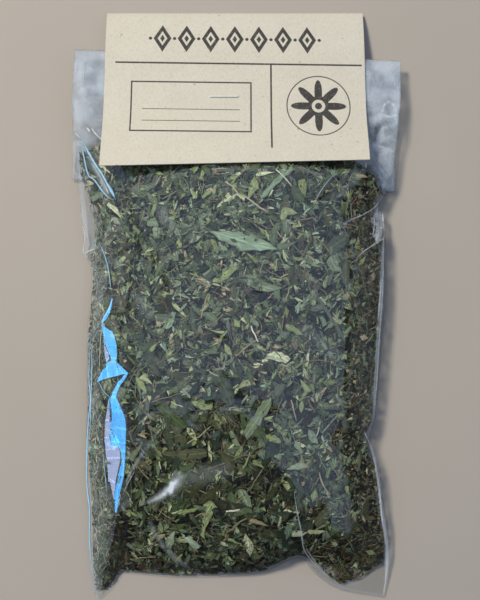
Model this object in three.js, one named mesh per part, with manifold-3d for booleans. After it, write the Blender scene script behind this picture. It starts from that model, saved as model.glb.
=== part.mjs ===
// A clear film packet of dried, cut leaf, closed by a folded header card and one staple.
// Millimetres. +X runs across the packet, +Y from its sealed end to the card's fold, and +Z up from
// the surface that it lies on. Shapes are drawn round the packet's long middle line, x = 0, and the
// finished group is then moved, so that the origin lies on the surface under the middle of the whole.
import * as THREE from "three";
import { mergeVertices } from "three/addons/utils/BufferGeometryUtils.js";
import Module from "manifold-3d";

const wasm = await Module();
wasm.setup();

// Driving dimensions
const CLEARANCE = 0.3; // between pieces that lie on each other

const FILM = 0.35; // one wall of the bag
const FILM_GAP = 0.35; // between the two walls where the bag is empty
const SHEETS = 2 * FILM + FILM_GAP; // the empty bag's whole thickness
const FLAT_WIDTH = 133; // of the empty bag
const SEAM_Y = -112; // bottom seam, between its ears
const EAR_LENGTH = 11; // how far the seam's corners stick out past it
const FILM_FOLD_Y = 99; // where the mouth is folded back
const FLAP_END_Y = 47; // the mouth's edge, behind the packet
const FLAP_TILT = THREE.MathUtils.degToRad(2.1); // the fold isn't square to the bag
const FLAP_SIDESTEP = 1.15; // the fold's middle from the packet's

const CARD = 0.4;
const CARD_WIDTH = 105;
const CARD_FRONT_END = 53.2; // y of the front leaf's lower edge, on the middle line
const CARD_CUT_SLANT = THREE.MathUtils.degToRad(1.3); // that edge isn't cut square

const STAPLE_CROWN = 12.7; // outside width
const STAPLE_WIRE = 0.7;
const STAPLE_CLINCH = 5; // length of each leg's bent end
const STAPLE_AT = { x: -4.3, y: 81.5 };
const STAPLE_HOLE = STAPLE_WIRE + 2 * CLEARANCE;

const FILL_END_Y = 68; // the fill's end towards the card
const CORE_DEPTH = 3.6; // from the film's inner face to the fill's core
const CORE_INSET = 6.5; // of the core from the bag's sides
const ROOT = 0.8; // how far a piece's root is sunk into the core
const ROOT_SHARE = 0.3; // of a piece's length, over which it rises from its root
const UNDER_FILM = 0.55; // the least depth of a piece under the film's inner face
const LONGEST = 24; // of the fill's pieces
const BLADE = 0.7; // thickness of a leaf piece
const PIECES_IN_FRONT = 215;
const PIECES_BEHIND = 60;
const STEM_SHARE = 0.09; // of the fill's pieces

// A smooth curve through points [at, value], as a function. It never overshoots a point.
function curve(...points) {
  const last = points.length - 1;
  const slopes = points
    .slice(1)
    .map(([at, value], i) => (value - points[i][1]) / (at - points[i][0]));
  const tangents = points.map((_, i) => {
    const before = slopes[i - 1] ?? slopes[i];
    const after = slopes[i] ?? slopes[i - 1];
    return before * after > 0 ? (2 * before * after) / (before + after) : 0;
  });
  return (at) => {
    if (at <= points[0][0]) return points[0][1];
    if (at >= points[last][0]) return points[last][1];
    const i = points.findIndex(([start]) => start > at) - 1;
    const span = points[i + 1][0] - points[i][0];
    const t = (at - points[i][0]) / span;
    return (
      points[i][1] * (1 + 2 * t) * (1 - t) ** 2 +
      points[i + 1][1] * t * t * (3 - 2 * t) +
      span * t * (1 - t) * (tangents[i] * (1 - t) - tangents[i + 1] * t)
    );
  };
}

// The lower of two heights, rounded where they cross
function softMin(a, b) {
  const rounding = 0.5;
  return Math.min(a, b) - rounding * Math.log1p(Math.exp(-Math.abs(a - b) / rounding));
}
const ramp = (value, span) => THREE.MathUtils.smoothstep(value, 0, span);

// The packet's outline, seen from above: x of its two long sides, and y of its bottom edge, where
// the seam's two corners stick out as ears beside the filled middle.
const leftSide = curve(
  [-123.5, -56.6], [-115, -58.6], [-91, -59.2], [-55, -60.9], [-15, -60.7], [10, -58.9],
  [15, -59.8], [19, -61.9], [30, -62.5], [45, -64.1], [61, -64.8], [100, -65.3],
);
const rightSide = curve(
  [-122.4, 61.3], [-116, 62.5], [-105, 63.7], [-86, 62.1], [-66, 58.3], [-55.5, 54.6],
  [-49, 57.2], [-20, 60.9], [0, 62.1], [25, 62.3], [35.5, 57.8], [44, 61.2], [53, 64.6], [100, 67.6],
);
const bottomEdge = curve(
  [-57, -123.5], [-54.6, -121.8], [-49, -115.2], [-47, -111.8], [-23, -113.4], [10, -112],
  [27, -105.5], [31.5, -111], [40, -117.6], [46, -119.7], [61.3, -122.4],
);
// y where the fill begins above the bottom edge
const fillStart = curve(
  [-58, -104], [-47, -108.5], [0, -110.5], [15, -108], [27, -103.5], [40, -108], [55, -107], [62, -102],
);

// The pinched end. Every layer under the card's front leaf follows its under face.
const cardUnder = curve(
  [50, 26.8], [54, 24.7], [62, 20.6], [70, 16.1], [76, 13.5], [82, 11.9],
  [90, 9.9], [101, 8], [110, 5.6], [116, 3.1], [117.4, 2.2],
);
// The filled bag's highest line, from the seam up to the card
const crest = (y) => (y < 51 ? bellyCrest(y) : cardUnder(y) - CLEARANCE);
const bellyCrest = curve(
  [-112, 22], [-85, 27], [-50, 29], [0, 30], [30, 29.2], [40, 28.4], [47, 27.4], [51, 25.97],
);
// The bag's lowest line: flat on the surface, then lifted over the flap and the card's back leaf
const PINCH_Y = 82;
const floor = (y) => softMin(bellyFloor(y), crest(y) - SHEETS);
const bellyFloor = curve(
  [30, 0], [38, 0.9], [43, 1.9], [50, 2.2], [58, 2.6], [64, 3.4], [70, 5.2], [76, 7.9],
  [PINCH_Y, 10.6], [90, 15],
);
const flapTop = (y) => floor(y) - CLEARANCE;
const cardBackTop = (y) => flapTop(y) - SHEETS - CLEARANCE;

// Height of the bag's long side folds, between the two walls
const leftFold = curve(
  [-124, 1.2], [-108, 2.4], [-90, 3], [20, 3.2], [45, 4.6], [60, 7.6], [72, 11], [PINCH_Y, 11.07],
);
const rightFold = curve(
  [-124, 1.2], [-112, 2.6], [-95, 6], [-50, 7.5], [20, 8], [45, 7], [60, 8], [72, 11], [PINCH_Y, 11.07],
);
// Share of the crest's height at a distance from each side and from the fill's bottom end. The left
// side keeps a low, flattened wing beside the full middle.
const swellFromLeft = curve([0, 0], [4, 0.13], [11, 0.26], [16, 0.52], [24, 0.74], [36, 0.91], [50, 1]);
const swellFromRight = curve([0, 0], [3, 0.26], [8, 0.5], [16, 0.74], [28, 0.92], [42, 1]);
const swellFromEnd = curve([0, 0], [3, 0.25], [8, 0.52], [16, 0.79], [28, 0.95], [40, 1]);

function foldHeight(x, y) {
  const across = THREE.MathUtils.clamp((x - leftSide(y)) / (rightSide(y) - leftSide(y)), 0, 1);
  const resting = THREE.MathUtils.lerp(leftFold(y), rightFold(y), across);
  return y < PINCH_Y ? resting : crest(y) - SHEETS / 2;
}

// Outer faces of the filled bag, as heights over the surface
function frontHeight(x, y) {
  const edge = foldHeight(x, y) + SHEETS / 2;
  const sides = swellFromLeft(x - leftSide(y)) * swellFromRight(rightSide(y) - x);
  return edge + (crest(y) - edge) * sides * swellFromEnd(y - fillStart(x));
}
function backHeight(x, y) {
  if (y > PINCH_Y) return floor(y);
  const edge = foldHeight(x, y) - SHEETS / 2;
  const pressed = ramp(x - leftSide(y), 12) * ramp(rightSide(y) - x, 18) * ramp(y - bottomEdge(x), 14);
  return edge - (edge - floor(y)) * pressed;
}

// Closed solids and geometries
function solid(geometry) {
  const bare = new THREE.BufferGeometry().setAttribute("position", geometry.getAttribute("position"));
  const merged = mergeVertices(geometry.index ? bare.setIndex(geometry.index) : bare, 1e-4);
  return new wasm.Manifold(
    new wasm.Mesh({
      numProp: 3,
      vertProperties: merged.getAttribute("position").array,
      triVerts: new Uint32Array(merged.index.array),
    }),
  );
}
function geometryOf(made) {
  const mesh = made.getMesh();
  return new THREE.BufferGeometry()
    .setAttribute("position", new THREE.BufferAttribute(mesh.vertProperties, 3))
    .setIndex(new THREE.BufferAttribute(mesh.triVerts, 1));
}
function piece(name, geometry, look) {
  geometry.computeVertexNormals();
  const mesh = new THREE.Mesh(geometry, new THREE.MeshStandardMaterial(look));
  mesh.name = name;
  return mesh;
}

// A surface from rows of points: quads join each row to the next, and each row's last point to its
// first, so that the rows are rings.
class Rings {
  points = [];
  faces = [];
  add(rings, inward) {
    const first = this.points.length / 3;
    const size = rings[0].length;
    rings.flat().forEach((p) => this.points.push(p.x, p.y, p.z));
    const at = (row, k) => first + row * size + (k % size);
    for (let row = 0; row + 1 < rings.length; row++)
      for (let k = 0; k < size; k++)
        this.quad([at(row, k), at(row, k + 1), at(row + 1, k + 1), at(row + 1, k)], inward);
    // The first ring's two halves lie over each other, and close it as a seam.
    for (let k = 0; k + 1 < size / 2; k++)
      this.quad([at(0, k + 1), at(0, k), at(0, size - 1 - k), at(0, size - 2 - k)], inward);
    return (k) => at(rings.length - 1, k);
  }
  quad([a, b, c, d], inward) {
    this.faces.push(...(inward ? [a, c, b, a, d, c] : [a, b, c, a, c, d]));
  }
  geometry() {
    return new THREE.BufferGeometry()
      .setAttribute("position", new THREE.Float32BufferAttribute(this.points, 3))
      .setIndex(this.faces);
  }
}

// Film bag: two walls that meet in its side folds and bottom seam. Past the pinch they run flat
// together to the fold, turn back under themselves and end open, as the bag's mouth.
const COLUMNS = 14;
const BELLY_ROWS = [
  SEAM_Y, -109.5, -106.5, -103, -98, -91, -82, -72, -64, -55.5, -48, -36, -24, -12, 0, 10, 15, 20,
  28, 35.5, 42, 48,
];
const NECK_ROWS = [54, 60, 66, 72, 77, 80, PINCH_Y, 84, 89, FILM_FOLD_Y];
const TURN_STEPS = 3;
const FLAP_ROWS = [89, 84, PINCH_Y, 80, 76, 70, 62, FLAP_END_Y];

// Columns lie closer together towards the two sides.
function columnShare(k) {
  const even = (2 * k) / COLUMNS - 1;
  return 0.6 * Math.sin((even * Math.PI) / 2) + 0.4 * even;
}
const columns = Array.from({ length: COLUMNS + 1 }, (_, k) => columnShare(k));

function between(left, right, share) {
  return (left + right) / 2 + ((right - left) / 2) * share;
}
const tilted = (x, y, amount) => y - (x - FLAP_SIDESTEP) * Math.tan(FLAP_TILT) * amount;

// One row of the filled bag or of its neck: front points and back points
function bodyRow(y) {
  const fade = 1 - ramp(y - SEAM_Y, 30);
  const sideY = y - EAR_LENGTH * fade;
  const row = columns.map((share) => {
    const x = between(leftSide(sideY), rightSide(sideY), share);
    const tuck = (bottomEdge(x) - SEAM_Y) * fade;
    return { x, y: tilted(x, y + tuck, ramp(y - 55, 35)) };
  });
  return {
    front: row.map(({ x, y }) => new THREE.Vector3(x, y, frontHeight(x, y))),
    back: row.map(({ x, y }) => new THREE.Vector3(x, y, backHeight(x, y))),
  };
}
function flapX(y, share) {
  const middle = FLAP_SIDESTEP - (FILM_FOLD_Y - y) * Math.tan(FLAP_TILT);
  return middle + (share * FLAT_WIDTH) / 2;
}
// One row of the turn, at an angle from the neck's direction
function turnRow(angle) {
  const radius = (SHEETS + CLEARANCE) / 2;
  const wall = (share, r) => {
    const x = flapX(FILM_FOLD_Y, share);
    const y = tilted(x, FILM_FOLD_Y, 1);
    const middle = crest(y) - SHEETS / 2 - radius;
    return new THREE.Vector3(x, y + r * Math.sin(angle), middle + r * Math.cos(angle));
  };
  return {
    front: columns.map((share) => wall(share, radius + SHEETS / 2)),
    back: columns.map((share) => wall(share, radius - SHEETS / 2)),
  };
}
// One row of the flap behind the packet, where the bag's front wall lies below its back wall
function flapRow(y) {
  const wall = (share, drop) => {
    const x = flapX(y, share);
    const py = tilted(x, y, 1);
    return new THREE.Vector3(x, py, flapTop(py) - drop);
  };
  return {
    front: columns.map((share) => wall(share, SHEETS)),
    back: columns.map((share) => wall(share, 0)),
  };
}

// The inside of a wall: each point moves along its own normal, and the sides and the seam move in.
function insideOf(rows) {
  return rows.map((row, i) => {
    const before = rows[Math.max(i - 1, 0)];
    const after = rows[Math.min(i + 1, rows.length - 1)];
    const wall = (side, other, turn) =>
      row[side].map((point, k) => {
        const apart = point.clone().sub(row[other][k]).normalize();
        const left = row[side][Math.max(k - 1, 0)];
        const right = row[side][Math.min(k + 1, COLUMNS)];
        const along = after[side][k].clone().sub(before[side][k]);
        const normal = right.clone().sub(left).cross(along).normalize().multiplyScalar(turn);
        const border = k === 0 || k === COLUMNS || i === 0;
        if (!border) return point.clone().addScaledVector(normal, -FILM);
        const inner = point.clone().add(row[other][k]).multiplyScalar(0.5);
        inner.addScaledVector(apart, FILM_GAP / 2);
        inner.x += FILM * ((k === 0) - (k === COLUMNS));
        if (i === 0) inner.y += FILM;
        return inner;
      });
    return { front: wall("front", "back", 1), back: wall("back", "front", -1) };
  });
}
const ring = ({ front, back }) => [...front, ...back.slice().reverse()];

function filmBag() {
  const turns = Array.from({ length: TURN_STEPS - 1 }, (_, k) => ((k + 1) * Math.PI) / TURN_STEPS);
  const rows = [
    ...[...BELLY_ROWS, ...NECK_ROWS].map(bodyRow),
    ...turns.map(turnRow),
    flapRow(FILM_FOLD_Y),
    ...FLAP_ROWS.map(flapRow),
  ];
  const shell = new Rings();
  const outer = shell.add(rows.map(ring), false);
  const inner = shell.add(insideOf(rows).map(ring), true);
  for (let k = 0; k < 2 * (COLUMNS + 1); k++)
    shell.quad([outer(k), outer(k + 1), inner(k + 1), inner(k)], false);
  return solid(shell.geometry());
}

// Header card: one strip, folded over the bag's pinched end
function cardStrip() {
  const front = [
    50, 54, 58, 62, 66, 70, 73, 76, 79, 82, 84, 87, 90, 95, 101, 106, 110, 113.5, 116, 117.4,
  ];
  const back = [116, 113, 110, 106, 101, 95, 90, 87, 84, 82, 80, 78, 76, 73, 70, 66, 62, 58, 52];
  // Past the film's fold the two leaves close up to the card's own fold.
  const closing = curve([101, cardBackTop(101)], [110, 3], [116, 1.5], [117.4, 1.4]);
  const backTop = (y) => (y < 101 ? cardBackTop(y) : closing(y));
  const outline = new THREE.Shape([
    ...front.map((y) => new THREE.Vector2(y, cardUnder(y))),
    new THREE.Vector2(117.7, 1.8),
    ...back.map((y) => new THREE.Vector2(y, backTop(y))),
    ...back.toReversed().map((y) => new THREE.Vector2(y, backTop(y) - CARD)),
    new THREE.Vector2(117.6, 1.2),
    new THREE.Vector2(118.1, 1.8),
    new THREE.Vector2(117.8, 2.6),
    ...front.toReversed().slice(1).map((y) => new THREE.Vector2(y, cardUnder(y) + CARD)),
  ]);
  const strip = new THREE.ExtrudeGeometry(outline, { depth: CARD_WIDTH, bevelEnabled: false });
  // The outline was drawn in y and z, and it is extruded along x.
  strip.applyMatrix4(
    new THREE.Matrix4().makeBasis(
      new THREE.Vector3(0, 1, 0),
      new THREE.Vector3(0, 0, 1),
      new THREE.Vector3(1, 0, 0),
    ),
  );
  return solid(strip.translate(-CARD_WIDTH / 2, 0, 0));
}
// What is cut off the front leaf, so that its lower edge is slanted
function cardOffcut() {
  const block = new THREE.BoxGeometry(2 * CARD_WIDTH, 20, 20).translate(0, -10, 0);
  return solid(block.rotateZ(CARD_CUT_SLANT).translate(0, CARD_FRONT_END, 27));
}

// Staple: its crown lies across the card, and its legs go straight down through every layer
const stapleTop = cardUnder(STAPLE_AT.y) + CARD + CLEARANCE + STAPLE_WIRE / 2;
const stapleBottom = cardBackTop(STAPLE_AT.y) - CARD - CLEARANCE - STAPLE_WIRE / 2;
const stapleDrop = stapleTop - stapleBottom;
const legX = (STAPLE_CROWN - STAPLE_WIRE) / 2;

function onStaple(object) {
  return object.translate(STAPLE_AT.x, STAPLE_AT.y, stapleTop);
}
function stapleWire() {
  const bend = 0.6;
  const line = new THREE.CurvePath();
  const point = (x, z) => new THREE.Vector3(x, 0, z);
  const straight = (a, b) => line.add(new THREE.LineCurve3(a, b));
  const corner = (a, b, c) => line.add(new THREE.QuadraticBezierCurve3(a, b, c));
  const tip = legX - STAPLE_CLINCH;
  const inner = legX - bend;
  const low = -stapleDrop;
  straight(point(-tip, low), point(-inner, low));
  corner(point(-inner, low), point(-legX, low), point(-legX, low + bend));
  straight(point(-legX, low + bend), point(-legX, -bend));
  corner(point(-legX, -bend), point(-legX, 0), point(-inner, 0));
  straight(point(-inner, 0), point(inner, 0));
  corner(point(inner, 0), point(legX, 0), point(legX, -bend));
  straight(point(legX, -bend), point(legX, low + bend));
  corner(point(legX, low + bend), point(legX, low), point(inner, low));
  straight(point(inner, low), point(tip, low));
  const section = new THREE.Shape().absarc(0, 0, STAPLE_WIRE / 2, 0, 2 * Math.PI);
  return onStaple(
    new THREE.ExtrudeGeometry(section, { extrudePath: line, steps: 36, curveSegments: 4 }),
  );
}
function stapleHoles() {
  const holes = [-legX, legX].map((x) =>
    solid(
      onStaple(
        new THREE.BoxGeometry(STAPLE_HOLE, STAPLE_HOLE, 3 * stapleDrop).translate(x, 0, -stapleDrop / 2),
      ),
    ),
  );
  return wasm.Manifold.union(holes);
}

// Fill: leaf pieces and stems that stand out of one core. Each is laid flat against the film's
// inner face, with its root sunk into the core and its tip close under the film.
function makeRandom(seed) {
  let state = seed;
  return () => {
    state = (state + 0x6d2b79f5) | 0;
    let t = Math.imul(state ^ (state >>> 15), 1 | state);
    t = (t + Math.imul(t ^ (t >>> 7), 61 | t)) ^ t;
    return ((t ^ (t >>> 14)) >>> 0) / 4294967296;
  };
}
const random = makeRandom(20);
const draw = (low, high) => low + (high - low) * random();

const room = (x, y) => frontHeight(x, y) - backHeight(x, y) - 2 * FILM;
const coreDepth = (x, y) => Math.min(CORE_DEPTH, 0.3 * room(x, y));

// How much a wall's height grows over its thickness, where the wall is steep
function steepness(height, x, y) {
  const step = 0.5;
  const sx = (height(x + step, y) - height(x - step, y)) / (2 * step);
  const sy = (height(x, y + step) - height(x, y - step)) / (2 * step);
  return Math.min(Math.hypot(1, sx, sy), 2.5);
}
// The point at a depth under the inner face of the front wall (side 1) or of the back wall (-1)
function atDepth(side, x, y, depth) {
  const height = side > 0 ? frontHeight : backHeight;
  const thickness = frontHeight(x, y) - backHeight(x, y);
  const down = Math.min((FILM + depth) * steepness(height, x, y), 0.42 * thickness);
  return new THREE.Vector3(x, y, height(x, y) - side * down);
}

function core() {
  const columnCount = 13;
  const across = Array.from({ length: columnCount }, (_, k) =>
    columnShare((k * COLUMNS) / (columnCount - 1)),
  );
  const rows = [0, 0.03, 0.08, 0.16, 0.25, 0.34, 0.43, 0.52, 0.61, 0.7, 0.79, 0.88, 0.95, 1];
  const rings = rows.map((share) => {
    const rowY = THREE.MathUtils.lerp(SEAM_Y, FILL_END_Y, share);
    const line = across.map((s) => {
      const x = between(leftSide(rowY) + CORE_INSET, rightSide(rowY) - CORE_INSET, s);
      return { x, y: THREE.MathUtils.lerp(fillStart(x) + CORE_INSET / 2, FILL_END_Y, share) };
    });
    const rough = ({ x, y }) => coreDepth(x, y) * draw(0.75, 1.1);
    return ring({
      front: line.map((place) => atDepth(1, place.x, place.y, rough(place))),
      back: line.map((place) => atDepth(-1, place.x, place.y, rough(place))),
    });
  });
  const lump = new Rings();
  const end = lump.add(rings, false);
  const size = rings[0].length;
  for (let k = 0; k + 1 < size / 2; k++)
    lump.quad([end(k), end(k + 1), end(size - 2 - k), end(size - 1 - k)], false);
  return solid(lump.geometry());
}

// Outlines of leaf pieces, from root (0, 0) to tip (1, 0): half widths at shares of the length
const OUTLINES = [
  [[0.45, 0.5]], // a narrow whole leaf
  [[0.35, 0.5]],
  [[0.35, 0.5], [0.55, 0.25]], // toothed
  [[0.3, 0.45], [0.86, 0.42]], // cut across, ragged
];
function leafOutline(length, width) {
  const points = OUTLINES[Math.floor(draw(0, OUTLINES.length))];
  const edge = (side) =>
    points.map(([at, half]) => new THREE.Vector2(at * length, side * half * width * draw(0.8, 1.15)));
  return new THREE.Shape([
    new THREE.Vector2(0, 0),
    ...edge(-1),
    new THREE.Vector2(length, width * draw(-0.15, 0.15)),
    ...edge(1).reverse(),
  ]);
}
function stemOutline(length, width) {
  return new THREE.Shape([
    new THREE.Vector2(0, -width / 2),
    new THREE.Vector2(length, -width / 2.4),
    new THREE.Vector2(length, width / 2.4),
    new THREE.Vector2(0, width / 2),
  ]);
}

// Lays a flat outline round the place (x, y): flat under the film, with its root in the core.
function laid(outline, length, side, place) {
  const turn = draw(0, 2 * Math.PI);
  const x = place.x - (Math.cos(turn) * length) / 2;
  const y = place.y - (Math.sin(turn) * length) / 2;
  const roll = draw(-0.2, 0.2);
  const pitch = draw(-0.03, 0.09);
  const cover = draw(0.6, 2.4);
  const blade = new THREE.ExtrudeGeometry(outline, { depth: BLADE, bevelEnabled: false });
  const position = blade.getAttribute("position");
  for (let i = 0; i < position.count; i++) {
    const along = position.getX(i);
    const px = x + Math.cos(turn) * along - Math.sin(turn) * position.getY(i);
    const py = y + Math.sin(turn) * along + Math.cos(turn) * position.getY(i);
    const lying = cover + pitch * along + roll * position.getY(i);
    const root = coreDepth(px, py) + ROOT;
    const risen = ramp(along, ROOT_SHARE * length);
    const depth = THREE.MathUtils.lerp(root, Math.max(lying, UNDER_FILM), risen);
    const through = side > 0 ? BLADE - position.getZ(i) : position.getZ(i);
    const point = atDepth(side, px, py, depth + through);
    position.setXYZ(i, point.x, point.y, point.z);
  }
  const fits = hasRoom(x, y) && hasRoom(2 * place.x - x, 2 * place.y - y);
  return { fits, place, made: solid(blade) };
}

// Whether a piece's end can lie there: within the fill's edges, and where the bag is thick enough
function hasRoom(x, y) {
  const inset = 3.5;
  const least = 4.5;
  const inside = x > leftSide(y) + inset && x < rightSide(y) - inset;
  return inside && y > fillStart(x) + inset && y < FILL_END_Y - 1 && room(x, y) > least;
}
// Of a few random places, the furthest from the pieces that lie there
function freePlace(laidOut) {
  let best = { apart: -1 };
  for (let tries = 0; tries < 10 || best.apart < 0; tries++) {
    const place = { x: draw(-FLAT_WIDTH / 2, FLAT_WIDTH / 2), y: draw(SEAM_Y, FILL_END_Y) };
    if (!hasRoom(place.x, place.y)) continue;
    const apart = Math.min(...laidOut.map((other) => distance(other.place, place)), 1e3);
    if (apart > best.apart) best = { apart, place };
  }
  return best.place;
}
const distance = (a, b) => Math.hypot(a.x - b.x, a.y - b.y);
const cross = (a, b) => !a.intersect(b).isEmpty();

// Lays up to a number of pieces under one wall. They lie over each other, but don't cross.
function scatter(count, side, bag) {
  const laidOut = [];
  for (let tries = 0; tries < 6 * count && laidOut.length < count; tries++) {
    const { outline, length } = random() < STEM_SHARE ? stemPiece() : leafPiece();
    const next = laid(outline, length, side, freePlace(laidOut));
    const near = laidOut.filter((other) => distance(other.place, next.place) < LONGEST);
    const blocked = [bag, ...near.map(({ made }) => made)].some((other) => cross(next.made, other));
    if (next.fits && !blocked) laidOut.push(next);
  }
  return laidOut.map(({ made }) => made);
}
function leafPiece() {
  const length = draw(9, 17);
  return { length, outline: leafOutline(length, length * draw(0.34, 0.5)) };
}
function stemPiece() {
  const length = draw(12, LONGEST);
  return { length, outline: stemOutline(length, draw(1, 1.5)) };
}
function herbFill(bag) {
  const joined = wasm.Manifold.union([
    core(),
    ...scatter(PIECES_IN_FRONT, 1, bag),
    ...scatter(PIECES_BEHIND, -1, bag),
  ]);
  const bodies = joined.decompose().sort((a, b) => b.volume() - a.volume());
  return bodies[0]; // without the scraps that the core doesn't hold
}

const holes = stapleHoles();
const bag = filmBag();
const packet = new THREE.Group();
packet.add(
  piece("bag_film", geometryOf(bag.subtract(holes)), {
    color: 0xdfe6ea, roughness: 0.08, metalness: 0, transparent: true, opacity: 0.3,
  }),
  piece("header_card", geometryOf(cardStrip().subtract(cardOffcut()).subtract(holes)), {
    color: 0xd9caa8, roughness: 0.9, metalness: 0,
  }),
  piece("staple", stapleWire(), { color: 0xb8b8b6, roughness: 0.3, metalness: 1 }),
  piece("herb_fill", geometryOf(herbFill(bag)), { color: 0x5f6b4a, roughness: 0.85, metalness: 0 }),
);

// The origin goes under the middle of the whole packet.
const box = new THREE.Box3().setFromObject(packet, true);
const middle = box.getCenter(new THREE.Vector3());
packet.position.set(-middle.x, -middle.y, -box.min.z);

export default packet;
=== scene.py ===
"""Clear film packet of dried, cut leaf, closed by a stapled kraft header card.

Shapes are worked out in millimetres in the packet's own drawing frame: x across it from its long
middle line, y along it towards the card, z up from the surface that it lies on. row_points() turns
them into the row frame's metres.
"""

import math

import bpy
import numpy as np
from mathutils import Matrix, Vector


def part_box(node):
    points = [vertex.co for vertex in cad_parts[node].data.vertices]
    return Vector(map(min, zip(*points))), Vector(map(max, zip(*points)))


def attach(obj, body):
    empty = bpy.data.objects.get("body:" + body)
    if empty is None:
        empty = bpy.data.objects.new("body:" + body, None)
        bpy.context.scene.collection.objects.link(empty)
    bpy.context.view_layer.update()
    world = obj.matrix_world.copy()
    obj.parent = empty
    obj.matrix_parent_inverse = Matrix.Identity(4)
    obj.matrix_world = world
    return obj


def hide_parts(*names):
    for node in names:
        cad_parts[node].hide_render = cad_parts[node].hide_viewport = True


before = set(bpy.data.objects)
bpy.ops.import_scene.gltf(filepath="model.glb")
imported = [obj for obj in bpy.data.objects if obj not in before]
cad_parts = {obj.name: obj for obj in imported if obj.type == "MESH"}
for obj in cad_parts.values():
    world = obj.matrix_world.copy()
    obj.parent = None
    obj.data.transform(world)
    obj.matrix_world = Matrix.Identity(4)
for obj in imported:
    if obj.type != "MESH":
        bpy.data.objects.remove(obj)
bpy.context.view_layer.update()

# ---------------------------------------------------------------- sizes, in millimetres

MM = 0.001
CARD_WIDTH = 105
CARD_LOWEST_Y = 52  # lower edge of the card's back leaf
CARD_FRONT_END = 53.2  # lower edge of its front leaf
CARD_CUT_SLANT = math.radians(1.3)
CARD_THICK = 0.4
CARD_LIFT = 0.2  # of the front leaf over its place in the CAD model, towards the staple
CLEARANCE = 0.3
SHEETS = 1.05  # the empty bag's thickness in the CAD model
FILM_GAP = 0.3  # between its two walls here
FLAT_WIDTH = 133
SEAM_Y = -112
EAR_LENGTH = 11
EAR_TOP_Y = -92
FILM_FOLD_Y = 99
FLAP_END_Y = 47
FLAP_TILT = math.radians(2.1)
FLAP_SIDESTEP = 1.15
PINCH_Y = 82  # where the neck of the bag is pressed flat
NECK_Y = 78  # where its wrinkles end
FILL_END_Y = 68
FILL_START_Y = -121
PALE_WING_Y = -80  # below it the pale strip of fine leaf is what the flat wing covers

# Seeds of everything that is placed by chance
WAVE_SEED, BUMP_SEED, CREASE_SEED, FLAP_SEED = 3, 4, 11, 5
CORE_SEED, CARD_SEED, LEAF_SEED = 21, 8, 77
CREASE_COUNT, FLAP_CREASE_COUNT = 150, 74

CAMERA_HEIGHT = 400
CAMERA_X = 2.1  # of the camera's axis in the drawing frame
FOCAL_PIXELS = 966
PICTURE = (480, 600)
SENSOR = 36

card_low, card_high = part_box("header_card")
ROW_SHIFT = (
    (card_low[0] + card_high[0]) / 2 / MM,
    card_low[1] / MM - CARD_LOWEST_Y,
    0,
)


def row_points(points):
    """Drawing-frame millimetres as row-frame metres."""
    return (np.asarray(points, float) + ROW_SHIFT) * MM


# ---------------------------------------------------------------- curves and noise


def curve(*points):
    """A smooth curve through points (at, value), which never overshoots them."""
    at, value = np.array(points, float).T
    spans = np.diff(at)
    slopes = np.diff(value) / spans
    before = np.r_[slopes[0], slopes]
    after = np.r_[slopes, slopes[-1]]
    same = before * after > 0
    tangents = np.where(
        same, 2 * before * after / np.where(same, before + after, 1), 0
    )

    def read(places):
        places = np.clip(places, at[0], at[-1])
        i = np.clip(np.searchsorted(at, places, side="right") - 1, 0, len(at) - 2)
        t = (places - at[i]) / spans[i]
        return (
            value[i] * (1 + 2 * t) * (1 - t) ** 2
            + value[i + 1] * t * t * (3 - 2 * t)
            + spans[i] * t * (1 - t) * (tangents[i] * (1 - t) - tangents[i + 1] * t)
        )

    return read


def straight(*points):
    """Straight lines through points (at, value)."""
    at, value = np.array(points, float).T
    return lambda places: np.interp(places, at, value)


def ramp(value, span):
    t = np.clip(value / span, 0, 1)
    return t * t * (3 - 2 * t)


def soft_min(a, b, rounding=0.5):
    return np.minimum(a, b) - rounding * np.log1p(np.exp(-np.abs(a - b) / rounding))


def distances(points):
    """How far each point of a line is from its start, along the line."""
    return np.r_[0, np.cumsum(np.hypot(*np.diff(points, axis=0).T))]


class Noise:
    """Smooth value noise in the plane, from -1 to 1."""

    def __init__(self, seed):
        self.grid = np.random.default_rng(seed).uniform(-1, 1, (256, 256))

    def __call__(self, x, y):
        x, y = np.broadcast_arrays(np.asarray(x, float), np.asarray(y, float))
        i, j = np.floor(x).astype(int), np.floor(y).astype(int)
        u, v = x - i, y - j
        u, v = u * u * (3 - 2 * u), v * v * (3 - 2 * v)
        g, i1, j1 = self.grid, (i + 1) % 256, (j + 1) % 256
        i, j = i % 256, j % 256
        low = g[i, j] * (1 - u) + g[i1, j] * u
        high = g[i, j1] * (1 - u) + g[i1, j1] * u
        return low * (1 - v) + high * v


waves, bumps = Noise(WAVE_SEED), Noise(BUMP_SEED)

# ---------------------------------------------------------------- the packet's outline and heights

left_side = curve(
    (-123.5, -56.6), (-115, -58.6), (-91, -59.2), (-55, -60.9), (-15, -60.7), (10, -58.9),
    (15, -59.8), (19, -61.9), (30, -62.5), (45, -64.1), (61, -64.8), (100, -65.3),
)  # fmt: skip
right_side = curve(
    (-122.4, 61.3), (-116, 62.2), (-105, 63), (-95, 62.5), (-85, 60.9), (-66, 58.1), (-55.5, 54.7),
    (-49, 56.8), (-20, 59.4), (0, 60.9), (25, 61.2), (35.5, 57.8), (44, 61.2), (53, 64.6),
    (100, 67.6),
)  # fmt: skip
bottom_edge = curve(
    (-57, -123.5), (-54.6, -121.8), (-49, -115.2), (-47, -111.8), (-23, -113.4), (10, -112),
    (27, -105.5), (31.5, -111), (40, -117.6), (46, -119.7), (61.3, -122.4),
)  # fmt: skip
fill_start = curve(
    (-58, -116), (-50, -111), (-46, -110.8), (0, -111.5), (15, -109), (27, -104.5), (33, -110),
    (40, -115), (46, -116), (51, -113), (57, -109), (62, -105),
)  # fmt: skip
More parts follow.
